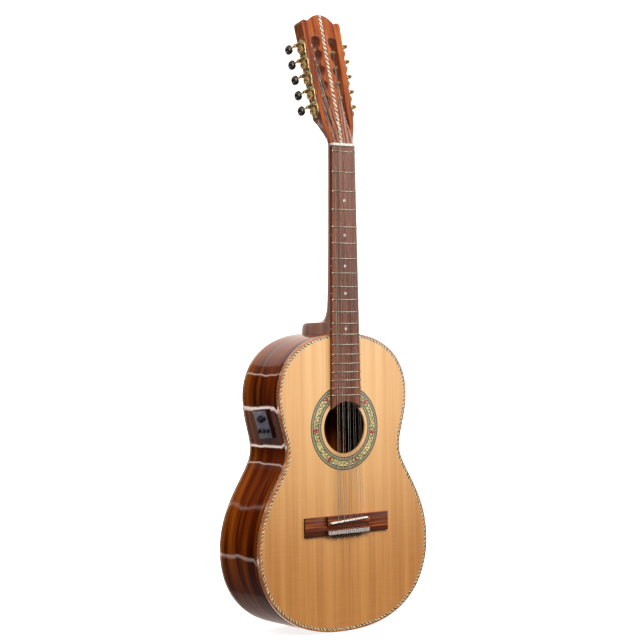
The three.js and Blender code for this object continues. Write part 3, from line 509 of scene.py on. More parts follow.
def shade(piece, angle):
    """Smooth faces, with sharp edges where they meet at more than angle degrees."""
    mesh = piece.data
    for polygon in mesh.polygons:
        polygon.use_smooth = True
    bm = bmesh.new()
    bm.from_mesh(mesh)
    limit = radians(angle)
    for edge in bm.edges:
        edge.smooth = len(edge.link_faces) == 2 and edge.calc_face_angle(0) < limit
    bm.to_mesh(mesh)
    bm.free()


def offset_loop(loop, distance):
    """A closed loop moved to its left by distance (inwards if it runs anticlockwise)."""
    points = np.array(loop)
    ahead = np.roll(points, -1, axis=0) - points
    ahead /= np.linalg.norm(ahead, axis=1)[:, None]
    before = np.roll(ahead, 1, axis=0)
    middle = ahead + before
    middle /= np.linalg.norm(middle, axis=1)[:, None]
    left = np.stack([-middle[:, 1], middle[:, 0]], axis=1)
    stretch = 1 / np.clip((middle * ahead).sum(axis=1), 0.5, 1)
    return (points + left * (distance * stretch)[:, None]).tolist()


def anticlockwise(loop):
    area = sum(a[0] * b[1] - b[0] * a[1] for a, b in zip(loop, loop[1:] + loop[:1]))
    return loop if area > 0 else loop[::-1]


def depth_at(depth, z):
    """A depth given as a number, or as what a function of height says."""
    return depth(z) if callable(depth) else depth


def slab(loops, front, back, round_front=0.0, round_back=0.0, steps=3):
    """A plate from its outline and holes, between two depths, with rounded rims."""
    outlines = [anticlockwise(list(loops[0]))] + [anticlockwise(list(h))[::-1] for h in loops[1:]]
    levels = []
    for k in range(steps + 1 if round_front else 1):
        a = 0.5 * pi * k / steps
        levels.append((round_front * (1 - sin(a)), "front", round_front * (1 - cos(a))))
    for k in range(steps, -1, -1) if round_back else [0]:
        a = 0.5 * pi * k / steps
        levels.append((round_back * (1 - sin(a)), "back", round_back * (1 - cos(a))))
    points, faces, caps = [], [], {0: [], len(levels) - 1: []}
    for outline in outlines:
        count = len(outline)
        rows = []
        for row, (inset, side, down) in enumerate(levels):
            moved = offset_loop(outline, inset) if inset else outline
            start = len(points)
            for x, z in moved:
                depth = depth_at(front, z) + down if side == "front" else depth_at(back, z) - down
                points.append((x, depth, z))
            rows.append(start)
            if row in caps:
                caps[row].append(list(range(start, start + count)))
        for a, b in zip(rows, rows[1:]):
            for i in range(count):
                j = (i + 1) % count
                faces.append((a + i, a + j, b + j, b + i))
    for loops_of_row in caps.values():
        flat = [i for loop in loops_of_row for i in loop]
        shapes = [[Vector((points[i][0], points[i][2], 0)) for i in loop] for loop in loops_of_row]
        for triangle in tessellate_polygon(shapes):
            faces.append(tuple(flat[i] for i in triangle))
    return points, faces


def bridged(rings):
    """Faces between each ring of points and the next; a ring may be a single point."""
    faces = []
    for a, b in zip(rings, rings[1:]):
        count = max(len(a), len(b))
        for k in range(count):
            j = (k + 1) % count
            corners = [a[k % len(a)], a[j % len(a)], b[j % len(b)], b[k % len(b)]]
            face = tuple(dict.fromkeys(corners))
            if len(face) > 2:
                faces.append(face)
    return faces


def rows_of(rows, count):
    """Rings for points that were written row by row, count in each."""
    return [list(range(k * count, (k + 1) * count)) for k in range(rows)]


def tube_faces(rows, count):
    """Faces of such rows as a tube with both ends closed."""
    rings = rows_of(rows, count)
    return bridged(rings) + [tuple(rings[0]), tuple(rings[-1])]


def turned(profile, segments=32, axis="x"):
    """A turned solid from [radius, along] pairs."""
    return round_form([(along, [radius] * segments) for radius, along in profile], axis)


def round_form(rows, axis="x"):
    """A solid from rows of (place along the axis, radius at each angle); a radius of 0 is a point."""
    points, rings = [], []
    for along, radii in rows:
        count = 1 if max(radii) < 1e-6 else len(radii)
        rings.append(list(range(len(points), len(points) + count)))
        for k in range(count):
            a = 2 * pi * k / count
            points.append((along, radii[k] * cos(a), radii[k] * sin(a)))
    faces = bridged(rings)
    if axis == "y":
        points = [(y, x, z) for x, y, z in points]
    if axis == "z":
        points = [(y, z, x) for x, y, z in points]
    return points, faces


def swept(path, section, up=(0, -1, 0)):
    """A section of (side, up) pairs carried along a path, turning as little as it can."""
    path = [Vector(p) for p in path]
    guide = Vector(up)
    points = []
    for i, p in enumerate(path):
        ahead = (path[min(i + 1, len(path) - 1)] - path[max(i - 1, 0)]).normalized()
        guide = (guide - ahead * guide.dot(ahead)).normalized()
        side = ahead.cross(guide)
        points.extend(tuple(p + side * a + guide * b) for a, b in section)
    return points, tube_faces(len(path), len(section))


def round_section(radius, sides):
    angles = [2 * pi * k / sides for k in range(sides)]
    return [(radius * cos(a), radius * sin(a)) for a in angles]


def block(x0, x1, d0, d1, z0, z1, bevel=0.4, segments=2):
    """A box with rounded edges."""
    bm = bmesh.new()
    bmesh.ops.create_cube(bm, size=1)
    for v in bm.verts:
        x, d, z = (c + 0.5 for c in v.co)
        v.co = Vector((x0 + x * (x1 - x0), d0 + d * (d1 - d0), z0 + z * (z1 - z0)))
    if bevel:
        bmesh.ops.bevel(bm, geom=bm.edges[:] + bm.verts[:], offset=bevel, segments=segments, profile=0.5,
                        affect="EDGES", clamp_overlap=True)
    return taken(bm)


def taken(bm):
    bm.verts.index_update()
    points = [tuple(v.co) for v in bm.verts]
    faces = [tuple(v.index for v in f.verts) for f in bm.faces]
    bm.free()
    return points, faces


def merged(*meshes):
    points, faces = [], []
    for more_points, more_faces in meshes:
        start = len(points)
        points.extend(more_points)
        faces.extend(tuple(i + start for i in f) for f in more_faces)
    return points, faces


def moved(mesh, matrix):
    points, faces = mesh
    return [tuple(matrix @ Vector(p)) for p in points], faces


def carve(piece, tools, operation="DIFFERENCE"):
    """Cuts or joins other meshes into a piece for good."""
    for points, faces, place in tools:
        mesh = outward_mesh("tool", points, faces, place)
        mesh.materials.append(piece.data.materials[0])
        tool = linked("tool", mesh)
        modifier = piece.modifiers.new("carve", "BOOLEAN")
        modifier.operation = operation
        modifier.solver = "EXACT"
        modifier.object = tool
        depsgraph = bpy.context.evaluated_depsgraph_get()
        result = bpy.data.meshes.new_from_object(piece.evaluated_get(depsgraph))
        piece.modifiers.remove(modifier)
        piece.data = result
        bpy.data.objects.remove(tool)
    shade(piece, 35)
    return piece


# ---------------------------------------------------------------- the body's outline

HALF_ARCS = [
    ((0, 0), (149.2, 0), (170.7, 90.9), (170.7, 135.5)),
    ((170.7, 135.5), (170.7, 212.6), (113.7, 255.3), (113.7, 287.8)),
    ((113.7, 287.8), (113.7, 315.1), (129.5, 337.8), (129.5, 375.9)),
    ((129.5, 375.9), (129.5, 430.3), (88.1, BODY_LENGTH), (0, BODY_LENGTH)),
]


def cubic(corners, t):
    """A point of a curve with two handles, and the direction it runs in there."""
    p = [np.array(v, float) for v in corners]
    s = 1 - t
    place = s**3 * p[0] + 3 * s * s * t * p[1] + 3 * s * t * t * p[2] + t**3 * p[3]
    run = 3 * s * s * (p[1] - p[0]) + 6 * s * t * (p[2] - p[1]) + 3 * t * t * (p[3] - p[2])
    return place, run / np.linalg.norm(run)


def half_outline(steps=32):
    """Points of the treble half, tail to neck, each with its outward normal."""
    points = []
    for n, arc in enumerate(HALF_ARCS):
        for i in range(0 if n == 0 else 1, steps + 1):
            place, run = cubic(arc, i / steps)
            points.append((place[0], place[1], run[1], -run[0]))
    return points


def full_outline():
    treble = half_outline()
    bass = [(-x, z, -nx, nz) for x, z, nx, nz in treble[1:-1]][::-1]
    return treble + bass


def inset_loop(inset):
    return [(x - nx * inset, z - nz * inset) for x, z, nx, nz in full_outline()]


def back_at(z):
    return TAIL_DEPTH + (NECK_DEPTH - TAIL_DEPTH) * z / BODY_LENGTH


def rim_band(name, profile, key, from_back=False, **more):
    """A band that runs round the body. Its profile is (inset, depth) pairs, closed on itself;
    depth counts from the soundboard's face, or from the back's with from_back."""
    outline = full_outline()
    points, uvs = [], []
    run = 0.0
    insets = [i for i, _ in profile]
    depths = [d for _, d in profile]
    flat = max(insets) - min(insets) >= max(depths) - min(depths)
    for k, (x, z, nx, nz) in enumerate(outline):
        if k:
            run += hypot(x - outline[k - 1][0], z - outline[k - 1][1])
        for inset, depth in profile:
            px, pz = x - nx * inset, z - nz * inset
            points.append((px, back_at(pz) - depth if from_back else depth, pz))
            low, high = (min(insets), max(insets)) if flat else (min(depths), max(depths))
            uvs.append((run * MM, ((inset if flat else depth) - low) / (high - low)))
    rings = rows_of(len(outline), len(profile))
    faces = bridged(rings + [rings[0]])
    return finish_piece(name, points, faces, key, uvs=uvs, **more)


def circle_loop(radius, x=0.0, z=0.0, steps=96):
    return [(x + radius * cos(2 * pi * k / steps), z + radius * sin(2 * pi * k / steps))
            for k in range(steps)]


# ---------------------------------------------------------------- body


def make_body():
    top = slab([inset_loop(PURFLING_TO), circle_loop(HOLE_R, z=HOLE_Z)], 0, 2.8, 0.0)
    finish_piece("spruce_top", *top, "spruce", stands_for=["soundboard"])
    lip = slab([circle_loop(HOLE_R + 1.2, z=HOLE_Z), circle_loop(HOLE_R, z=HOLE_Z)], -0.03, 1.5, 0.25)
    finish_piece("soundhole_lip", *lip, "spruce")
    rim_band("top_purfling", [(BINDING_WIDE, 0), (PURFLING_TO, 0), (PURFLING_TO, 1.4), (BINDING_WIDE, 1.4)],
             "top_rope")
    corner = [(BINDING_WIDE, 0), (0.9, 0), (0.45, 0.12), (0.12, 0.45), (0, 0.9), (0, BINDING_DEEP),
              (BINDING_WIDE, BINDING_DEEP)]
    rim_band("front_binding", corner, "binding", stands_for=["top_binding"])
    rim_band("rear_binding", corner, "binding", from_back=True, stands_for=["back_binding"])
    side = [(0, BINDING_DEEP), (0, SIDE_ROPE_TO), (1.2, SIDE_ROPE_TO), (1.2, BINDING_DEEP)]
    rim_band("front_side_purfling", side, "side_rope")
    rim_band("rear_side_purfling", side, "side_rope", from_back=True)

    back = slab([inset_loop(BINDING_WIDE)], lambda z: back_at(z) - 2.8, back_at)
    finish_piece("rosewood_back", *back, "rosewood_back", stands_for=["back_plate"])

    treble = [p for p in half_outline() if p[0] > (12 if p[1] < 200 else 9.9)]
    bass = [(-x, z, -nx, nz) for x, z, nx, nz in treble]
    rib("bass_side", bass, "rib_bass")
    rib("treble_side", treble, "rib_treble")
    rim = SIDE_ROPE_TO
    strip = [(-13.0, 0.16), (-6.5, 0.0), (6.5, 0.0), (13.0, 0.16), (13.0, 2.4), (-13.0, 2.4)]
    finish_piece("tail_strip", *slab([strip], rim, lambda z: back_at(z) - rim), "binding",
                 stands_for=["tail_graft"])


def rib(name, outline, node):
    """One bent side, from the side purfling at the front to the one at the back."""
    levels = 6
    outer, inner = 0.0, 2.4
    points = []
    for x, z, nx, nz in outline:
        for inset in (outer, inner):
            px, pz = x - nx * inset, z - nz * inset
            low, high = SIDE_ROPE_TO, back_at(pz) - SIDE_ROPE_TO
            order = range(levels + 1) if inset == outer else range(levels, -1, -1)
            for k in order:
                points.append((px, low + (high - low) * k / levels, pz))
    faces = tube_faces(len(outline), 2 * (levels + 1))
    piece = finish_piece(name, points, faces, "rosewood", stands_for=[node])
    piece.data.materials.append(material("rosewood_low"))
    for polygon in piece.data.polygons:
        if polygon.center.z < SATIN_BELOW * MM:
            polygon.material_index = 1


def ring(name, r0, r1, key, front=-0.05, thick=0.6):
    """A flat ring about the soundhole; its u runs round it in metres."""
    steps = 240
    points, uvs = [], []
    middle = 0.5 * (r0 + r1)
    for k in range(steps + 1):
        a = 2 * pi * k / steps
        for radius, depth, v in ((r0, front, 0), (r1, front, 1), (r1, front + thick, 1),
                                 (r0, front + thick, 0)):
            points.append((radius * cos(a), depth, HOLE_Z + radius * sin(a)))
            uvs.append((a * middle * MM, v))
    return finish_piece(name, points, bridged(rows_of(steps + 1, 4)), key, uvs=uvs)


def set_out(cx, cz, direction, along, across):
    """A point along and across a direction from a centre."""
    return (cx + along * cos(direction) - across * sin(direction),
            cz + along * sin(direction) + across * cos(direction))


def petals(angle, radius, count, size, width, spin=0.0):
    """Outlines of a flower's petals, round a point at that angle and radius about the hole."""
    cx, cz = radius * cos(angle), HOLE_Z + radius * sin(angle)
    shapes = []
    for k in range(count):
        a = spin + 2 * pi * k / count
        shape = []
        for i in range(10):
            t = 2 * pi * i / 10
            along = size * (0.52 + 0.5 * cos(t))
            across = width * sin(t) * (0.8 + 0.4 * cos(t))
            shape.append(set_out(cx, cz, a, along, across))
        shapes.append(shape)
    return shapes


def leaf(angle, radius, lean, length, width):
    cx, cz = radius * cos(angle), HOLE_Z + radius * sin(angle)
    direction = angle + pi / 2 + lean
    shape = []
    for i in range(12):
        t = 2 * pi * i / 12
        along = length * 0.5 * cos(t)
        across = width * 0.5 * sin(t) * (1 - 0.35 * cos(t))
        shape.append(set_out(cx, cz, direction, along, across))
    return shape


def inlay(name, shapes, key, front=-0.12):
    mesh = merged(*[slab([shape], front, 0.1) for shape in shapes])
    return finish_piece(name, *mesh, key)


def make_rosette():
    inner, outer = 47.5, 67.4
    border = 5.4
    ring("rosette_inner_border", inner, inner + border, "border")
    band = ring("rosette_band", inner + border, outer - border, "band")
    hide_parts("rosette")
    ring("rosette_outer_border", outer - border, outer, "border")
    for n, r in enumerate((inner, inner + border, outer - border, outer)):
        ring(f"rosette_thread_{n + 1}", r - 0.5, r + 0.5, "thread", front=-0.08)
    middle = 0.5 * (inner + outer)
    flowers, hearts, greens, olives, buds = [], [], [], [], []
    blooms = [radians(a) for a in (-10, 42, 86, 128, 183, 238, 293)]
    for a in blooms:
        flowers += petals(a, middle, 5, 4.2, 1.9, spin=a)
        hearts += petals(a, middle, 1, 1.2, 0.7, spin=a)
        for side in (-1, 1):
            for step, key_list, radius, lean, length, width in (
                (0.105, greens, middle + 1.6, 0.5, 6.2, 2.6),
                (0.125, greens, middle - 2.0, -0.6, 5.6, 2.4),
                (0.2, olives, middle + 1.4, -0.5, 5.4, 2.6),
                (0.23, olives, middle - 1.8, 0.6, 5.0, 2.3),
                (0.31, greens, middle + 2.2, 0.3, 4.8, 2.0),
                (0.34, olives, middle - 2.2, -0.4, 4.8, 2.1),
                (0.4, greens, middle + 0.6, 0.9, 4.6, 1.9),
                (0.44, olives, middle - 1.2, -0.8, 4.6, 2.0),
            ):
                key_list.append(leaf(a + side * step, radius, side * lean, length, width))
            buds += petals(a + side * 0.27, middle + 0.2, 4, 1.7, 0.7, spin=a)
    inlay("rosette_leaves_green", greens, "leaf")
    inlay("rosette_leaves_olive", olives, "olive")
    inlay("rosette_flowers", flowers + buds, "petal", front=-0.14)
    inlay("rosette_hearts", hearts, "heart", front=-0.17)


# ---------------------------------------------------------------- bridge

BRIDGE_LOW = 154.7
BRIDGE_TALL = 30.4
BRIDGE_HALF = 84.0
BLOCK_HALF = 43.0
TIE_TOP = 8.3
TIE_HOLE = -5.3
SADDLE_TOP = -13.0
SADDLE_BASS = (-38.5, 174.6)
SADDLE_TREBLE = (36.0, 179.1)


def saddle_z(x):
    t = (x - SADDLE_BASS[0]) / (SADDLE_TREBLE[0] - SADDLE_BASS[0])
    return SADDLE_BASS[1] + t * (SADDLE_TREBLE[1] - SADDLE_BASS[1])


def make_bridge(strings):
    top = BRIDGE_LOW + BRIDGE_TALL
    tie_top = BRIDGE_LOW + 9.0
    parts = [
        block(-BRIDGE_HALF, -BLOCK_HALF + 1, -4, 0, BRIDGE_LOW, top, 0.7),
        block(BLOCK_HALF - 1, BRIDGE_HALF, -4, 0, BRIDGE_LOW, top, 0.7),
        block(-BLOCK_HALF, BLOCK_HALF, -3.4, 0, BRIDGE_LOW + 0.3, top - 0.3, 0.3),
        block(-BLOCK_HALF, BLOCK_HALF, -TIE_TOP, -0.5, BRIDGE_LOW, tie_top, 0.5),
        block(-BLOCK_HALF, BLOCK_HALF, -TIE_TOP - 0.3, -0.5, 170.8, top, 1.2, 4),
    ]
    body = finish_piece("bridge_body", *merged(*parts), "bridge", stands_for=["bridge"])
    # the sideways faces: darker end grain, and painted shade on the side walls of the raised block and wings
    end_faces(body, "bridge_ends_grain_and_shade")
    run = Vector((SADDLE_TREBLE[0] - SADDLE_BASS[0], 0, SADDLE_TREBLE[1] - SADDLE_BASS[1]))
    angle = atan2(run.z, run.x)
    bone = block(0, run.length, SADDLE_TOP, -3, -1.3, 1.3, 0.6, 3)
    place = BODY @ Matrix.Translation((SADDLE_BASS[0], 0, SADDLE_BASS[1])) @ Matrix.Rotation(-angle, 4, "Y")
    finish_piece("bone_saddle", *bone, "bone", place=place, stands_for=["saddle"])
    x0, x1, z0, z1, d = -41.6, 41.6, BRIDGE_LOW + 0.8, tie_top - 0.6, -TIE_TOP - 0.9
    points = [(x0, d, z0), (x1, d, z0), (x1, d, z1), (x0, d, z1),
              (x0, d + 1, z0), (x1, d + 1, z0), (x1, d + 1, z1), (x0, d + 1, z1)]
    faces = [(0, 1, 2, 3), (4, 5, 6, 7), (0, 1, 5, 4), (1, 2, 6, 5), (2, 3, 7, 6), (3, 0, 4, 7)]
    uvs = [(p[0] * MM, 0.0 if p[2] == z0 else 1.0) for p in points]
    finish_piece("tie_inlay", points, faces, "tie_rope", uvs=uvs, smooth=20,
                 stands_for=["tie_block_inlay"])
    # dark ball ends below the tie block, their dark colour partly painted shade of the block
    balls = []
    for string in strings:
        ball = turned([(0, 0), (1.5, 0), (1.9, 0.6), (1.9, 2.4), (1.5, 3.0), (0, 3.0)], 14, "x")
        balls.append(moved(ball, Matrix.Translation((string["saddle_x"] - 1.5, TIE_HOLE, BRIDGE_LOW - 2.6))))
    finish_piece("string_ends", *merged(*balls), "dark_knot")


# ---------------------------------------------------------------- fingerboard


def fret_z(n):
    return ZERO_FRET_Z - SCALE * (1 - 2 ** (-n / 12))


def board_half(z):
    return 23.0 + (ZERO_FRET_Z - z) * 0.0155


def make_fingerboard():
    end_r, low_half = 41.8, 28.9
    corner = asin(low_half / end_r)
    loop = [(board_half(BOARD_TOP_Z), BOARD_TOP_Z), (-board_half(BOARD_TOP_Z), BOARD_TOP_Z)]
    steps = 24
    for k in range(steps + 1):
        a = pi / 2 + corner - 2 * corner * k / steps
        loop.append((end_r * cos(a), HOLE_Z + end_r * sin(a)))
    mesh = slab([loop], BOARD_FACE, 0.0, 0.5)
    board = finish_piece("fretboard", *mesh, "board", stands_for=["fingerboard"])
    end_faces(board, "board_edge")
    section = [(-1.25, -0.3), (-1.15, 0.35), (-0.8, 0.85), (-0.35, 1.08), (0.35, 1.08), (0.8, 0.85),
               (1.15, 0.35), (1.25, -0.3)]
    for n in range(FRETS + 1):
        z = fret_z(n)
        half = board_half(z) - 0.2
        path = [(-half, 0.5), (-half + 0.6, 0.0), (half - 0.6, 0.0), (half, 0.5)]
        wire = swept([(x, BOARD_FACE + d, z) for x, d in path], section)
        finish_piece(f"fret_{n:02d}", *wire, "fret")
    dots = []
    for n in (3, 5, 7, 9, 12):
        z = 0.5 * (fret_z(n) + fret_z(n - 1))
        disc = turned([(0, -0.06), (2.35, -0.06), (2.4, 0.0), (2.4, 0.6), (0, 0.6)], 32, "y")
        dots.append(moved(disc, Matrix.Translation((0, BOARD_FACE, z))))
        if n > 3:
            small = turned([(0, -0.05), (0.85, -0.05), (0.85, 0.6), (0, 0.6)], 20, "x")
            dots.append(moved(small, Matrix.Translation((-board_half(z), BOARD_FACE / 2, z))))
    finish_piece("position_dots", *merged(*dots), "dot")


def make_nut(strings):
    z0, z1 = BOARD_TOP_Z, HEAD_FOOT[2] - 0.1
    bar = block(-board_half(z0), board_half(z0), NUT_TOP, 0.0, z0, z1, 0.6, 3)
    piece = finish_piece("bone_nut", *bar, "bone", stands_for=["nut"])
    slots = []
    for string in strings:
        x, r = string["nut_x"], string["radius"] + 0.04
        cutter = block(x - r, x + r, -12, string["nut_y"] + r, z0 - 2, z1 + 2, 0.0)
        slots.append((*cutter, BODY))
    carve(piece, slots)


# ---------------------------------------------------------------- neck and head

# height, depth, how much of the width is left at the back, how square
NECK_SECTIONS = [
    (776.4, 13.8, 1, 2.3), (740, 13.5, 1, 2.3), (640, 14.4, 1, 2.3), (600, 15.2, 1, 2.3), (545, 16.7, 1, 2.3),
    (527, 18.6, 1, 2.3), (515, 20.6, 0.99, 2.35), (507, 23.2, 0.98, 2.4), (500.9, 26.8, 0.96, 2.5),
    (497.8, 29.8, 0.94, 2.6), (494.6, 33.8, 0.92, 2.7), (493, 37.4, 0.9, 2.8), (491.6, 44, 0.89, 3),
    (490.8, 60, 0.87, 3.3), (490.2, 86, 0.85, 3.5), (488, 92, 0.84, 3.5), (483, 94.9, 0.84, 3.5),
    (476, 95.8, 0.84, 3.5), (464, 95.8, 0.84, 3.5),
]
# height, half-width, depth, share and squareness, from square at the top to as round as the neck
HEAD_FOOT_SECTIONS = [
    (240, 48, 26, 1, 24), (50, 48, 26, 1, 24), (44, 34.5, 23.4, 1, 9), (36, 32.6, 21.9, 1, 4.6),
    (27, 30.6, 20.6, 1, 3.3), (18, 27, 19.4, 1, 2.7), (9, 23.9, 18.3, 1, 2.4), (-6, 23, 17.4, 1, 2.3),
]


def loft(sections, around=48):
    """Half-round sections joined along z, with two to ten steps between each and the next."""
    rows = []
    for a, b in zip(sections, sections[1:]):
        steps = max(2, min(10, int(abs(a[0] - b[0]) / 8)))
        rows += [tuple(u + (v - u) * k / steps for u, v in zip(a, b)) for k in range(steps)]
    rows.append(sections[-1])
    points = []
    for z, wide, depth, share, square in rows:
        for i in range(around + 1):
            angle = pi * i / around
            y = depth * sin(angle) ** (2 / square) if 0 < i < around else 0.0
            half = wide * (1 + (share - 1) * y / depth)
            c = cos(angle)
            points.append((half * copysign(abs(c) ** (2 / square), c), y, z))
    return points, tube_faces(len(rows), around + 1)


def quadratic(p0, p1, p2, steps=8):
    """Points of a curve with one handle, without its first point."""
    out = []
    for k in range(1, steps + 1):
        t = k / steps
        out.append(tuple((1 - t) ** 2 * a + 2 * t * (1 - t) * b + t * t * c for a, b, c in zip(p0, p1, p2)))
    return out


def post_height(i):
    return HEAD_SIDE_LOW + (FIRST_POST + i * TUNER_PITCH) * cos(SIDE_LEAN)


def slot_loop(side):
    low, top, outer_low, outer_top, cusp = 39.0, 181.0, 23.5, 26.3, 13.5
    points = [(outer_low, low + 5), (outer_top, top - 9)]
    points += quadratic(points[-1], (outer_top, top), (17, top))
    points += quadratic(points[-1], (7.5, top), (8.0, 175))
    points += quadratic(points[-1], (8.2, 167), (cusp - 0.6, post_height(TUNERS - 1) + 2.5))
    points.append((cusp, post_height(TUNERS - 1)))
    for i in range(TUNERS - 2, -1, -1):
        a, b = post_height(i + 1), post_height(i)
        points.append((cusp, a - 2))
        points += quadratic(points[-1], (6.3, a - 4.5), (7.6, a - 9.5), 6)
        points += quadratic(points[-1], (8.8, a - 15), (cusp - 0.6, b + 4), 6)
        points.append((cusp, b + 1))
    points.append((cusp, low + 4))
    points += quadratic(points[-1], (cusp, low), (17, low), 5)
    points += quadratic((20, low), (outer_low, low), (outer_low, low + 5), 5)[:-1]
    return anticlockwise([(side * x, z) for x, z in points])


def head_loop(start):
    rise = HEAD_CREST - 206
    dome_r = (HEAD_DIP**2 + rise**2) / (2 * rise)
    half = asin(HEAD_DIP / dome_r)
    right = [(HEAD_FOOT_HALF, start)]
    flare = (right[0], (23.4, 12), (31.6, 24), (HEAD_HALF_LOW, HEAD_SIDE_LOW))
    right += [tuple(cubic(flare, k / 14)[0]) for k in range(1, 15)]
    right.append((HEAD_HALF_TOP - 0.15, HEAD_SIDE_TOP - 3))
    right += quadratic(right[-1], (HEAD_HALF_TOP - 0.2, 208.2), (34.5, 208.4))
    right += quadratic(right[-1], (29.5, 208.6), (HEAD_DIP, 206))
    for k in range(1, 16):
        a = pi / 2 - half + half * k / 15
        right.append((dome_r * cos(a), HEAD_CREST - dome_r + dome_r * sin(a)))
    right[-1] = (0.0, HEAD_CREST)
    left = [(-x, z) for x, z in right[:-1]][::-1]
    return right + left


def ramp_tool(side):
    """The slope that lets the strings down into a slot."""
    x0, x1 = sorted((side * 13.6, side * 23.4))
    points = [(x, d, z) for x in (x0, x1) for d, z in ((-1.2, 22.5), (7.5, 43), (-1.2, 43))]
    faces = [(0, 1, 2), (3, 4, 5), (0, 1, 4, 3), (1, 2, 5, 4), (2, 0, 3, 5)]
    return points, faces, HEAD


def make_neck():
    sections = [(z, board_half(z), *rest) for z, *rest in NECK_SECTIONS]
    shaft = finish_piece("neck_shaft", *loft(sections), "mahogany", stands_for=["neck"])
    hull = slab([inset_loop(0.0)], -3, 130)
    carve(shaft, [(*hull, BODY)])
    foot = merged(block(-30, 30, 2.9, 90, 440, 470.5, 0.5), block(-30, 30, 2.9, 12, 402, 441, 0.5))
    finish_piece("neck_foot", *foot, "mahogany")

    core = slab([head_loop(1.6), slot_loop(1), slot_loop(-1)], VENEER, HEAD_THICK, 0.0, 1.4, 4)
    wood_core = finish_piece("head_core", *core, "head_wood", place=HEAD)
    carve(wood_core, [(*loft(HEAD_FOOT_SECTIONS), HEAD)], "INTERSECT")
    carve(wood_core, [ramp_tool(1), ramp_tool(-1)])
    inside_faces(wood_core, "slot_wall_painted_light", HEAD.inverted())
    face = slab([head_loop(0.6), slot_loop(1), slot_loop(-1)], 0, VENEER, 0.5, 0.0)
    veneer = finish_piece("head_face", *face, "veneer", place=HEAD, stands_for=["headstock_veneer"])
    carve(veneer, [ramp_tool(1), ramp_tool(-1)])

    half, steps = 3.1, 60
    points, uvs = [], []
    for k in range(steps + 1):
        z = 0.8 + (HEAD_CREST - 1.2 - 0.8) * k / steps
        for x, d in ((-half, -0.06), (half, -0.06), (half, 0.5), (-half, 0.5)):
            points.append((x, d, z))
            uvs.append((z * MM, 0.0 if x < 0 else 1.0))
    finish_piece("head_strip", points, tube_faces(steps + 1, 4), "head_rope", place=HEAD, uvs=uvs, smooth=20,
                 stands_for=["headstock_inlay"])


# ---------------------------------------------------------------- strings

STRING_PAIRS = [
    (17.75, 22.8, 0.50, 0.30, True), (9.0, 11.4, 0.45, 0.28, True), (0, 0, 0.40, 0.28, True),
    (-9.0, -11.4, 0.28, 0.28, False), (-17.75, -22.8, 0.25, 0.25, False),
]


def lay_strings():
    strings = []
    for course, (nut, saddle, thick, thin, is_wound) in enumerate(STRING_PAIRS):
        for sign in (-1, 1):
            number = course * 2 + (0 if sign < 0 else 1)
            side = -1 if number < TUNERS else 1
            post = number if side < 0 else 2 * TUNERS - 1 - number
            radius = thick if sign < 0 else thin
            strings.append({
                "name": f"string_{number + 1}", "radius": radius, "wound": is_wound and sign < 0,
                "nut_x": -nut + sign * 1.25, "saddle_x": -saddle + sign * 2.2,
                "nut_y": BOARD_FACE - 1.1 - radius, "side": side, "post": post, "post_x": 19.5 + post * 0.3,
            })
    return strings


def make_strings(strings):
    for s in strings:
        r = s["radius"]
        x, d, z = s["side"] * s["post_x"], POST_OFF - POST_R - r, post_height(s["post"])
        post = BODY.inverted() @ (HEAD @ Vector((x, d, z)))
        bar = saddle_z(s["saddle_x"])
        route = [
            Vector((s["saddle_x"], TIE_HOLE, BRIDGE_LOW - 1.5)),
            Vector((s["saddle_x"], TIE_HOLE, BRIDGE_LOW + 9.4)),
            Vector((s["saddle_x"], SADDLE_TOP - r, bar - 0.9)),
            Vector((s["saddle_x"], SADDLE_TOP - 0.1 - r, bar)),
            Vector((s["saddle_x"], SADDLE_TOP - r, bar + 0.9)),
            Vector((s["nut_x"] * 1.005, s["nut_y"], ZERO_FRET_Z)),
            Vector((s["nut_x"], s["nut_y"], HEAD_FOOT[2] - 2.5)),
            Vector((s["nut_x"], s["nut_y"] + 0.1, HEAD_FOOT[2])),
            post,
        ]
        tube = swept(route, round_section(r, 8))
        finish_piece(f"{s['name']}_run", *tube, "wound" if s["wound"] else "steel",
                     stands_for=[s["name"]], smooth=60)
        side = "bass" if s["side"] < 0 else "treble"
        coil_on_post(s, side)


def coil_on_post(s, side):
    """Turns of string on a post, in the post's own frame, whose x runs out of the head."""
    place = axis_frame(f"wind_{side}_{s['post'] + 1}", (0, 1, 0))
    reach = Vector((s["side"] * s["post_x"], POST_OFF - POST_R, post_height(s["post"])))
    landing = place.inverted() @ (HEAD @ reach)
    r = s["radius"]
    turns, steps = 3.5, 18
    start = atan2(landing.z, landing.y)
    path = []
    for k in range(int(turns * steps) + 1):
        a = start + 2 * pi * k / steps
        radius = POST_R + r * 0.9
        path.append((landing.x - 2.3 * r * k / steps, radius * cos(a), radius * sin(a)))
    tube = swept(path, round_section(r, 8), up=(1, 0, 0))
    finish_piece(f"{s['name']}_coil", *tube, "wound" if s["wound"] else "steel", place=place,
                 body=f"post_{side}_{s['post'] + 1}", smooth=60)


# ---------------------------------------------------------------- tuners


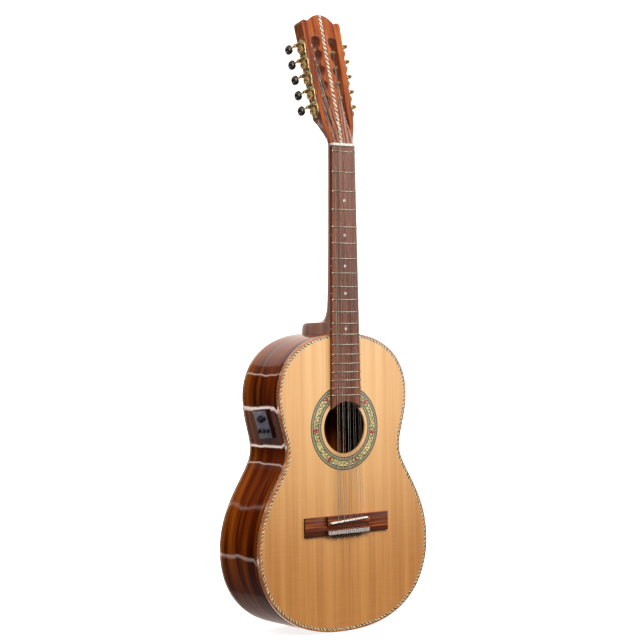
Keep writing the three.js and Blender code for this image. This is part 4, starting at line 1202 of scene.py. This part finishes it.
def tuner_plate(name, side):
    place = side_frame(side)
    length = FIRST_POST + (TUNERS - 1) * TUNER_PITCH + WORM_RISE
    low, high = -4.0, length + 10.0

    # the strap: scalloped between the tuners, with pointed ends, cut as an outline in depth and height
    half, middle = 8.6, 10.4
    right = []
    steps = 72
    for k in range(steps + 1):
        t = low + (high - low) * k / steps
        end = min(t - low, high - t)
        width = half * min(1.0, sqrt(max(end, 0.0) / 9.0) * 1.02)
        wave = 0.75 * cos(2 * pi * (t - FIRST_POST - WORM_RISE / 2) / TUNER_PITCH) if end > 9 else 0.0
        right.append((width + wave, t))
    loop = [(middle + w, t) for w, t in right] + [(middle - w, t) for w, t in right[::-1][1:-1]]
    strap, faces = slab([loop], 0.3, 1.7, 0.0, 0.35, 2)
    strap = [(side * d, a, t) for a, d, t in strap]
    finish_piece(f"{name}_plate", strap, faces, "engraved", place=place,
                 stands_for=[f"tuner_plate_{name}"])

    beads = []
    section = round_section(0.32, 6)
    rim = [(side * 1.75, middle + (w - 1.0) * sign, t) for sign in (1, -1) for w, t in right[3:-3]]
    half_count = len(rim) // 2
    beads.append(swept(rim[:half_count], section, up=(side, 0, 0)))
    beads.append(swept(rim[half_count:], section, up=(side, 0, 0)))
    for i in range(-1, TUNERS):
        base = FIRST_POST + i * TUNER_PITCH + WORM_RISE + 4.2
        span = TUNER_PITCH - WORM_RISE - 8.2
        if i == -1:
            base, span = low + 3.5, FIRST_POST - low - 7.5
        if i == TUNERS - 1:
            span = high - base - 3.0
        for sign in (-1, 1):
            curl = []
            for k in range(17):
                a = pi * 2 * k / 16
                curl.append((side * 1.8, middle + sign * 5.4 * cos(a * 0.5) * (1 - 0.15 * sin(a)),
                             base + span * k / 16))
            beads.append(swept(curl, section, up=(side, 0, 0)))
    finish_piece(f"{name}_plate_scrolls", *merged(*beads), "gold", place=place)

    ears, screws = [], []
    for i in range(TUNERS):
        post = FIRST_POST + i * TUNER_PITCH
        worm = post + WORM_RISE
        for off in (2.6, 18.2):
            x0, x1 = sorted((side * 1.2, side * (WORM_OUT + 2.2)))
            ears.append(block(x0, x1, off - 1.1, off + 1.1, worm - 3.1, worm + 3.1, 0.9, 3))
        for off in (3.4, 17.4):
            points, faces = turned([(0, 1.7), (1.5, 1.7), (1.5, 2.1), (1.0, 2.6), (0, 2.75)], 16, "x")
            set_head = [(side * x, y + off, z + worm + 7.4) for x, y, z in points]
            screws.append((set_head, faces))
        cap = turned([(0, 1.6), (4.0, 1.6), (4.0, 2.2), (3.4, 2.5), (3.3, 2.5)], 24, "x")
        last_ring = tuple(range(len(cap[0]) - 24, len(cap[0])))
        set_cap = [(side * x, y + POST_OFF, z + post) for x, y, z in cap[0]]
        ears.append((set_cap, cap[1] + [last_ring]))
    finish_piece(f"{name}_plate_ears", *merged(*ears), "gold", place=place)
    finish_piece(f"{name}_plate_screws", *merged(*screws), "gold", place=place)


def worm_thread(length, radius, depth, pitch):
    """A worm whose thread is one turning wave on a cylinder, along x."""
    around, rows = 24, int(length / pitch * 10)
    form = [(0.0, [0.0])]
    for r in range(rows + 1):
        along = length * r / rows
        turn = 2 * pi * along / pitch
        wave = [cos(turn - 2 * pi * k / around) for k in range(around)]
        form.append((along, [radius - depth * (0.5 - 0.5 * w) for w in wave]))
    return round_form(form + [(length, [0.0])])


def toothed(rows, teeth, depth):
    """A round form whose (radius, along, cut) rows are cut into teeth where cut is true."""
    around = teeth * 8
    dips = [depth * (0.5 - 0.5 * cos(2 * pi * teeth * k / around)) for k in range(around)]
    return round_form([(along, [radius - dip * cut for dip in dips] if radius else [0.0])
                       for radius, along, cut in rows])


def oval_knob():
    """The oval button, flat along the shaft."""
    rows, around = 18, 32
    points = []
    for r in range(1, rows):
        a = pi * r / rows
        along = 36.5 - 6.5 * copysign(abs(cos(a)) ** 0.75, cos(a))
        reach = sin(a) ** 0.7
        for k in range(around):
            b = 2 * pi * k / around
            points.append((along, 5.4 * reach * cos(b), 8.0 * reach * sin(b)))
    return points, tube_faces(rows - 1, around)


def make_tuners():
    up = HEAD.to_3x3() @ Vector((0, 0, 1))
    for name, side in SIDES.items():
        tuner_plate(name, side)
        for i in range(1, TUNERS + 1):
            body, node = f"worm_{name}_{i}", f"tuner_knob_{name}_{i}"
            place = axis_frame(f"tune_{name}_{i}", (1, 0, 0))
            shaft = merged(
                turned([(0, -0.9), (2.0, -0.9), (2.5, -0.4), (2.5, 0.8), (1.6, 1.1), (1.6, 4.2), (0, 4.2)],
                       20),
                moved(worm_thread(11.4, 2.6, 0.9, 2.3), Matrix.Translation((4.4, 0, 0))),
                turned([(0, 15.8), (1.6, 15.8), (1.6, 19.6), (2.7, 19.7), (2.7, 21.0), (1.9, 21.8), (1.6, 25),
                        (1.75, 27.5), (2.5, 29.2), (2.9, 30.2), (2.9, 31), (0, 31)], 24))
            finish_piece(f"worm_shaft_{name}_{i}", *shaft, "gold", place=place, body=body,
                         stands_for=[node])
            finish_piece(f"tuner_button_{name}_{i}", *oval_knob(), "black", place=place, body=body, smooth=60)
            body, node = f"post_{name}_{i}", f"roller_{name}_{i}"
            place = axis_frame(f"wind_{name}_{i}", up)
            post = turned([(0, -24.2), (2.6, -24.2), (POST_R, -23.7), (POST_R, -15.8), (2.7, -15),
                           (2.7, -9.6), (POST_R, -9), (POST_R, 4.4), (0, 4.4)], 28)
            wheel = merged(post, toothed(
                [(0, 4.8, 0), (5.5, 4.8, 0), (6.65, 5.1, 1), (6.4, 6.2, 1), (6.65, 7.3, 1), (5.5, 7.6, 0),
                 (0, 7.6, 0)],
                14, 0.9))
            cap = turned([(0, 7.6), (3.0, 7.6), (3.0, 8.1), (2.2, 8.8), (0.9, 9.1), (0, 9.1)], 24)
            finish_piece(f"gear_post_{name}_{i}", *wheel, "brass_post", place=place, body=body,
                         stands_for=[node])
            finish_piece(f"gear_screw_{name}_{i}", *cap, "gold", place=place, body=body, slot="worm_steel")


# ---------------------------------------------------------------- preamp and jack


KNOB_ROW = 10.3  # from the middle of the panel to its row of small knobs
KNOB_PITCH = 12
JACK_ALONG = 0.42  # of the outline's first arc, from the tail
JACK_DEPTH = 52


def panel_frame(joint_name):
    """A frame at one of the panel's joints: x out of the panel and y across it, along its row of knobs."""
    across = Vector(joint("turn_tone_3")["pos_m"]) - Vector(joint("turn_tone_1")["pos_m"])
    return axis_frame(joint_name, across)


def make_preamp():
    tall, wide, thick = 47.0, 36.0, 3.5
    place = panel_frame("turn_tone_2") @ Matrix.Translation((0, 0, KNOB_ROW))
    rim = block(-thick, 0.0, -wide / 2, wide / 2, -tall / 2, tall / 2, 0.9, 3)
    finish_piece("preamp_frame", *rim, "panel_edge", place=place, stands_for=["preamp_panel"])
    face = block(-0.6, 0.25, -wide / 2 + 1.6, wide / 2 - 1.0, -tall / 2 + 1.4, tall / 2 - 1.4, 0.2, 2)
    finish_piece("preamp_face", *face, "panel", place=place)
    box = block(-23, -thick, -wide / 2 + 3.2, wide / 2 - 3.2, -tall / 2 + 3.2, tall / 2 - 3.2, 0.8, 2)
    finish_piece("preamp_module", *box, "knob", place=place)
    marks = [block(0.2, 0.32, y - 3.6, y + 3.6, z - 0.35, z + 0.35, 0.0) for y, z in ((1, 19.5), (-1, -19.5))]
    for y in (-KNOB_PITCH, 0, KNOB_PITCH):
        for k in range(-2, 3):
            a = radians(90 + k * 42)
            cy, cz = y + 4.9 * cos(a), 4.9 * sin(a) - KNOB_ROW
            marks.append(block(0.2, 0.32, cy - 0.3, cy + 0.3, cz - 0.3, cz + 0.3, 0.0))
    finish_piece("preamp_marks", *merged(*marks), "mark", place=place, smooth=20)

    def knob(name, joint_name, radius, height, ribs):
        here = panel_frame(joint_name)
        cap = toothed([(0, 0.4, 0), (radius, 0.4, 0), (radius, 0.9, 1), (radius * 0.96, height - 0.8, 1),
                       (radius * 0.86, height, 0), (radius * 0.5, height + 0.1, 0), (0, height - 0.1, 0)],
                       ribs, 0.24)
        finish_piece(f"{name}_cap", *cap, "knob", place=here, body=name, stands_for=[name])
        line = block(height - 0.1, height + 0.16, -0.25, 0.25, radius * 0.3, radius * 0.84, 0.08, 1)
        finish_piece(f"{name}_pointer", *line, "mark", place=here, body=name)

    opening = block(-30, 8, -wide / 2 + 2.2, wide / 2 - 2.2, -tall / 2 + 2.2, tall / 2 - 2.2, 0)
    carve(bpy.data.objects["bass_side"], [(*opening, place)])
    knob("volume_knob", "turn_volume", 6.0, 4.2, 20)
    for n in (1, 2, 3):
        knob(f"tone_knob_{n}", f"turn_tone_{n}", 3.5, 3.2, 14)
    low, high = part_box("preamp_button")
    seat = Matrix.Translation((low + high) / 2) @ panel_frame("turn_volume").to_3x3().to_4x4()
    bore = turned([(0, -9), (3.2, -9), (3.2, 9), (0, 9)], 40)
    for name in ("preamp_frame", "preamp_face", "preamp_module"):
        carve(bpy.data.objects[name], [(*bore, seat)])
    cap = turned([(0, -2.4), (2.95, -2.4), (2.95, 1.6), (2.7, 2.2), (2.2, 2.48), (0, 2.3)], 32)
    finish_piece("push_button_cap", *cap, "knob", place=seat, body="preamp_button",
                 stands_for=["preamp_button"])


def make_jack():
    """The output socket on the treble side, near the tail: a hexagonal nut, a washer and the barrel."""
    at, run = cubic(HALF_ARCS[0], JACK_ALONG)
    out = Vector((run[1], 0, -run[0]))
    y = Vector((0, -1, 0))
    turn = Matrix((out, y, out.cross(y))).transposed().to_4x4()
    place = BODY @ Matrix.Translation((at[0], JACK_DEPTH, at[1])) @ turn
    barrel = turned([(3.3, -27), (3.3, 3.0), (3.6, 3.3), (4.6, 3.3), (4.9, 3.0), (4.9, 0.6), (6.0, 0.6),
                     (6.0, -30),
                     (0, -30), (0, -27), (3.3, -27)], 40)
    washer = turned([(4.9, 0.1), (8.6, 0.1), (8.6, 0.7), (8.2, 0.95), (4.9, 0.95), (4.9, 0.1)], 48)
    hexagon = [(6.6 * cos(pi / 3 * k), 6.6 * sin(pi / 3 * k)) for k in range(6)]
    nut, faces = slab([hexagon, circle_loop(4.95, steps=36)], -2.5, -0.95, 0.25, 0.0, 2)
    nut = [(-d, a, b) for a, d, b in nut]
    finish_piece("jack_socket", *merged(barrel, washer, (nut, faces)), "jack", place=place,
                 stands_for=["output_jack"])


# ---------------------------------------------------------------- inside pieces kept from the CAD


def dress_cad():
    for names, key in ((("top_lining", "back_lining", "top_bracing", "back_bracing"), "bracing"),
                       (("tail_block",), "mahogany")):
        for name in names:
            node = frame["nodes"][name]
            node.data.materials.clear()
            node.data.materials.append(material(key))


# ---------------------------------------------------------------- camera, stage, lights


CAMERA_YAW = radians(37.81)


def make_camera():
    yaw, pitch, roll = CAMERA_YAW, radians(0.04), radians(-0.76)
    ahead = Vector((sin(yaw) * cos(pitch), cos(yaw) * cos(pitch), sin(pitch)))
    right = Vector((cos(yaw), -sin(yaw), 0))
    up = right.cross(ahead)
    right_rolled = cos(roll) * right + sin(roll) * up
    up_rolled = -sin(roll) * right + cos(roll) * up
    data = bpy.data.cameras.new("camera")
    data.lens = 96.8
    data.sensor_width = 36
    camera = linked("camera", data)
    turn = Matrix((right_rolled, up_rolled, -ahead)).transposed().to_4x4()
    camera.matrix_world = Matrix.Translation((-1.7066, FACE_Y - 2.1393, 0.4928)) @ turn
    bpy.context.scene.camera = camera


def make_stage():
    """A pale floor that curves up into a wall behind."""
    radius, wall, reach = 1.6, 4.0, 6.0
    profile = [(-9.0, -0.001)]
    for k in range(17):
        a = 0.5 * pi * k / 16
        profile.append((wall - radius + radius * sin(a), -0.001 + radius * (1 - cos(a))))
    profile.append((wall, 7.0))
    ahead = Vector((sin(CAMERA_YAW), cos(CAMERA_YAW), 0))
    right = Vector((cos(CAMERA_YAW), -sin(CAMERA_YAW), 0))
    points, faces = [], []
    for along, height in profile:
        for side in (-reach, reach):
            points.append(ahead * along + right * side + Vector((0, 0, height)))
    for k in range(len(profile) - 1):
        faces.append((2 * k, 2 * k + 1, 2 * k + 3, 2 * k + 2))
    mesh = bpy.data.meshes.new("floor")
    mesh.from_pydata(points, [], faces)
    for polygon in mesh.polygons:
        polygon.use_smooth = True
    s = plain("pale_floor", (252, 252, 252), (246, 246, 247), 3, 0.5, roughness=0.9,
              Emission_Color=(1, 1, 1, 1), Emission_Strength=0.85)
    mesh.materials.append(s.material)
    floor = linked("floor", mesh)
    floor.visible_glossy = False
    floor.visible_diffuse = False
    make_surround()


def make_surround():
    """A pale closed drum far out, seen by the camera alone, so that no view runs past the wall."""
    points, faces = turned([(0, -0.03), (11, -0.03), (11, 8), (0, 8)], 64, "z")
    mesh = bpy.data.meshes.new("surround")
    mesh.from_pydata(points, [], faces)
    s = plain("pale_surround", (8, 8, 8), (4, 4, 4), 3, 0.5, roughness=1.0, Specular_IOR_Level=0.0,
              Emission_Color=(1, 1, 1, 1), Emission_Strength=1.0)
    mesh.materials.append(s.material)
    drum = linked("surround", mesh)
    for ray in ("glossy", "diffuse", "transmission", "shadow"):
        setattr(drum, "visible_" + ray, False)
    return drum


def soft_light(name, at, towards, size, power):
    data = bpy.data.lights.new(name, "AREA")
    data.energy = power
    data.size = size
    light = linked(name, data)
    light.location = at
    light.rotation_euler = (Vector(towards) - Vector(at)).to_track_quat("-Z", "Y").to_euler()
    light.visible_camera = False


# What the gloss of the ribs mirrors behind the instrument, as (degrees, brightness): 0 is level on
# the bass side, 90 straight up, 180 level on the treble side and -90 straight down.
STUDIO_BEHIND = [
    (-180, 2.6), (-95, 1.4), (-78, 1.1), (-74, 0.5), (-26, 0.3), (-23.4, 0.4), (-22, 9.0), (-19.3, 9.0),
    (-18.2, 0.02),
    (36, 0.02), (38, 4.5), (39.3, 4.5), (41, 0.16), (61, 0.2), (63.5, 0.9), (90, 1.3), (180, 1.2),
]


def make_world():
    world = bpy.data.worlds.new("studio")
    world.use_nodes = True
    n = Nodes(world.node_tree)
    x, y, z = n.parts(n.add("TexCoord").outputs["Generated"])
    wobble = n.add("TexNoise")
    wobble.inputs["Scale"].default_value = 2.2
    angle = n.math("ARCTAN2", z, n.math("MULTIPLY", x, -1.0))
    bent = n.math("ADD", angle, n.math("MULTIPLY", n.math("SUBTRACT", wobble.outputs["Fac"], 0.5), 0.16))
    turn = n.math("MULTIPLY_ADD", bent, 1 / (2 * pi), 0.5)
    warm = (1.1, 0.94, 0.86)
    behind = n.ramp(turn, [(0.5 + degrees / 360, (*(level * tint for tint in warm), 1))
                           for degrees, level in STUDIO_BEHIND])
    before = n.ramp(z, [(0.36, (0.1, 0.1, 0.1, 1)), (0.56, (0.9, 0.9, 0.9, 1))])
    seen = n.mix(n.math("GREATER_THAN", y, 0.3), before, behind)
    n.feed(n.tree.nodes["Background"].inputs["Color"], seen)
    bpy.context.scene.world = world


def make_lights():
    bpy.context.scene.view_settings.view_transform = "Standard"
    make_world()
    soft_light("key", (-0.9, -3.2, 2.6), (0, 0, 0.55), 1.8, 130)
    soft_light("fill", (2.6, -2.4, 1.2), (0, 0, 0.4), 2.2, 40)


make_camera()
make_stage()
make_lights()
dress_cad()
strings = lay_strings()
make_body()
make_rosette()
make_bridge(strings)
make_fingerboard()
make_nut(strings)
make_neck()
make_strings(strings)
make_tuners()
make_preamp()
make_jack()
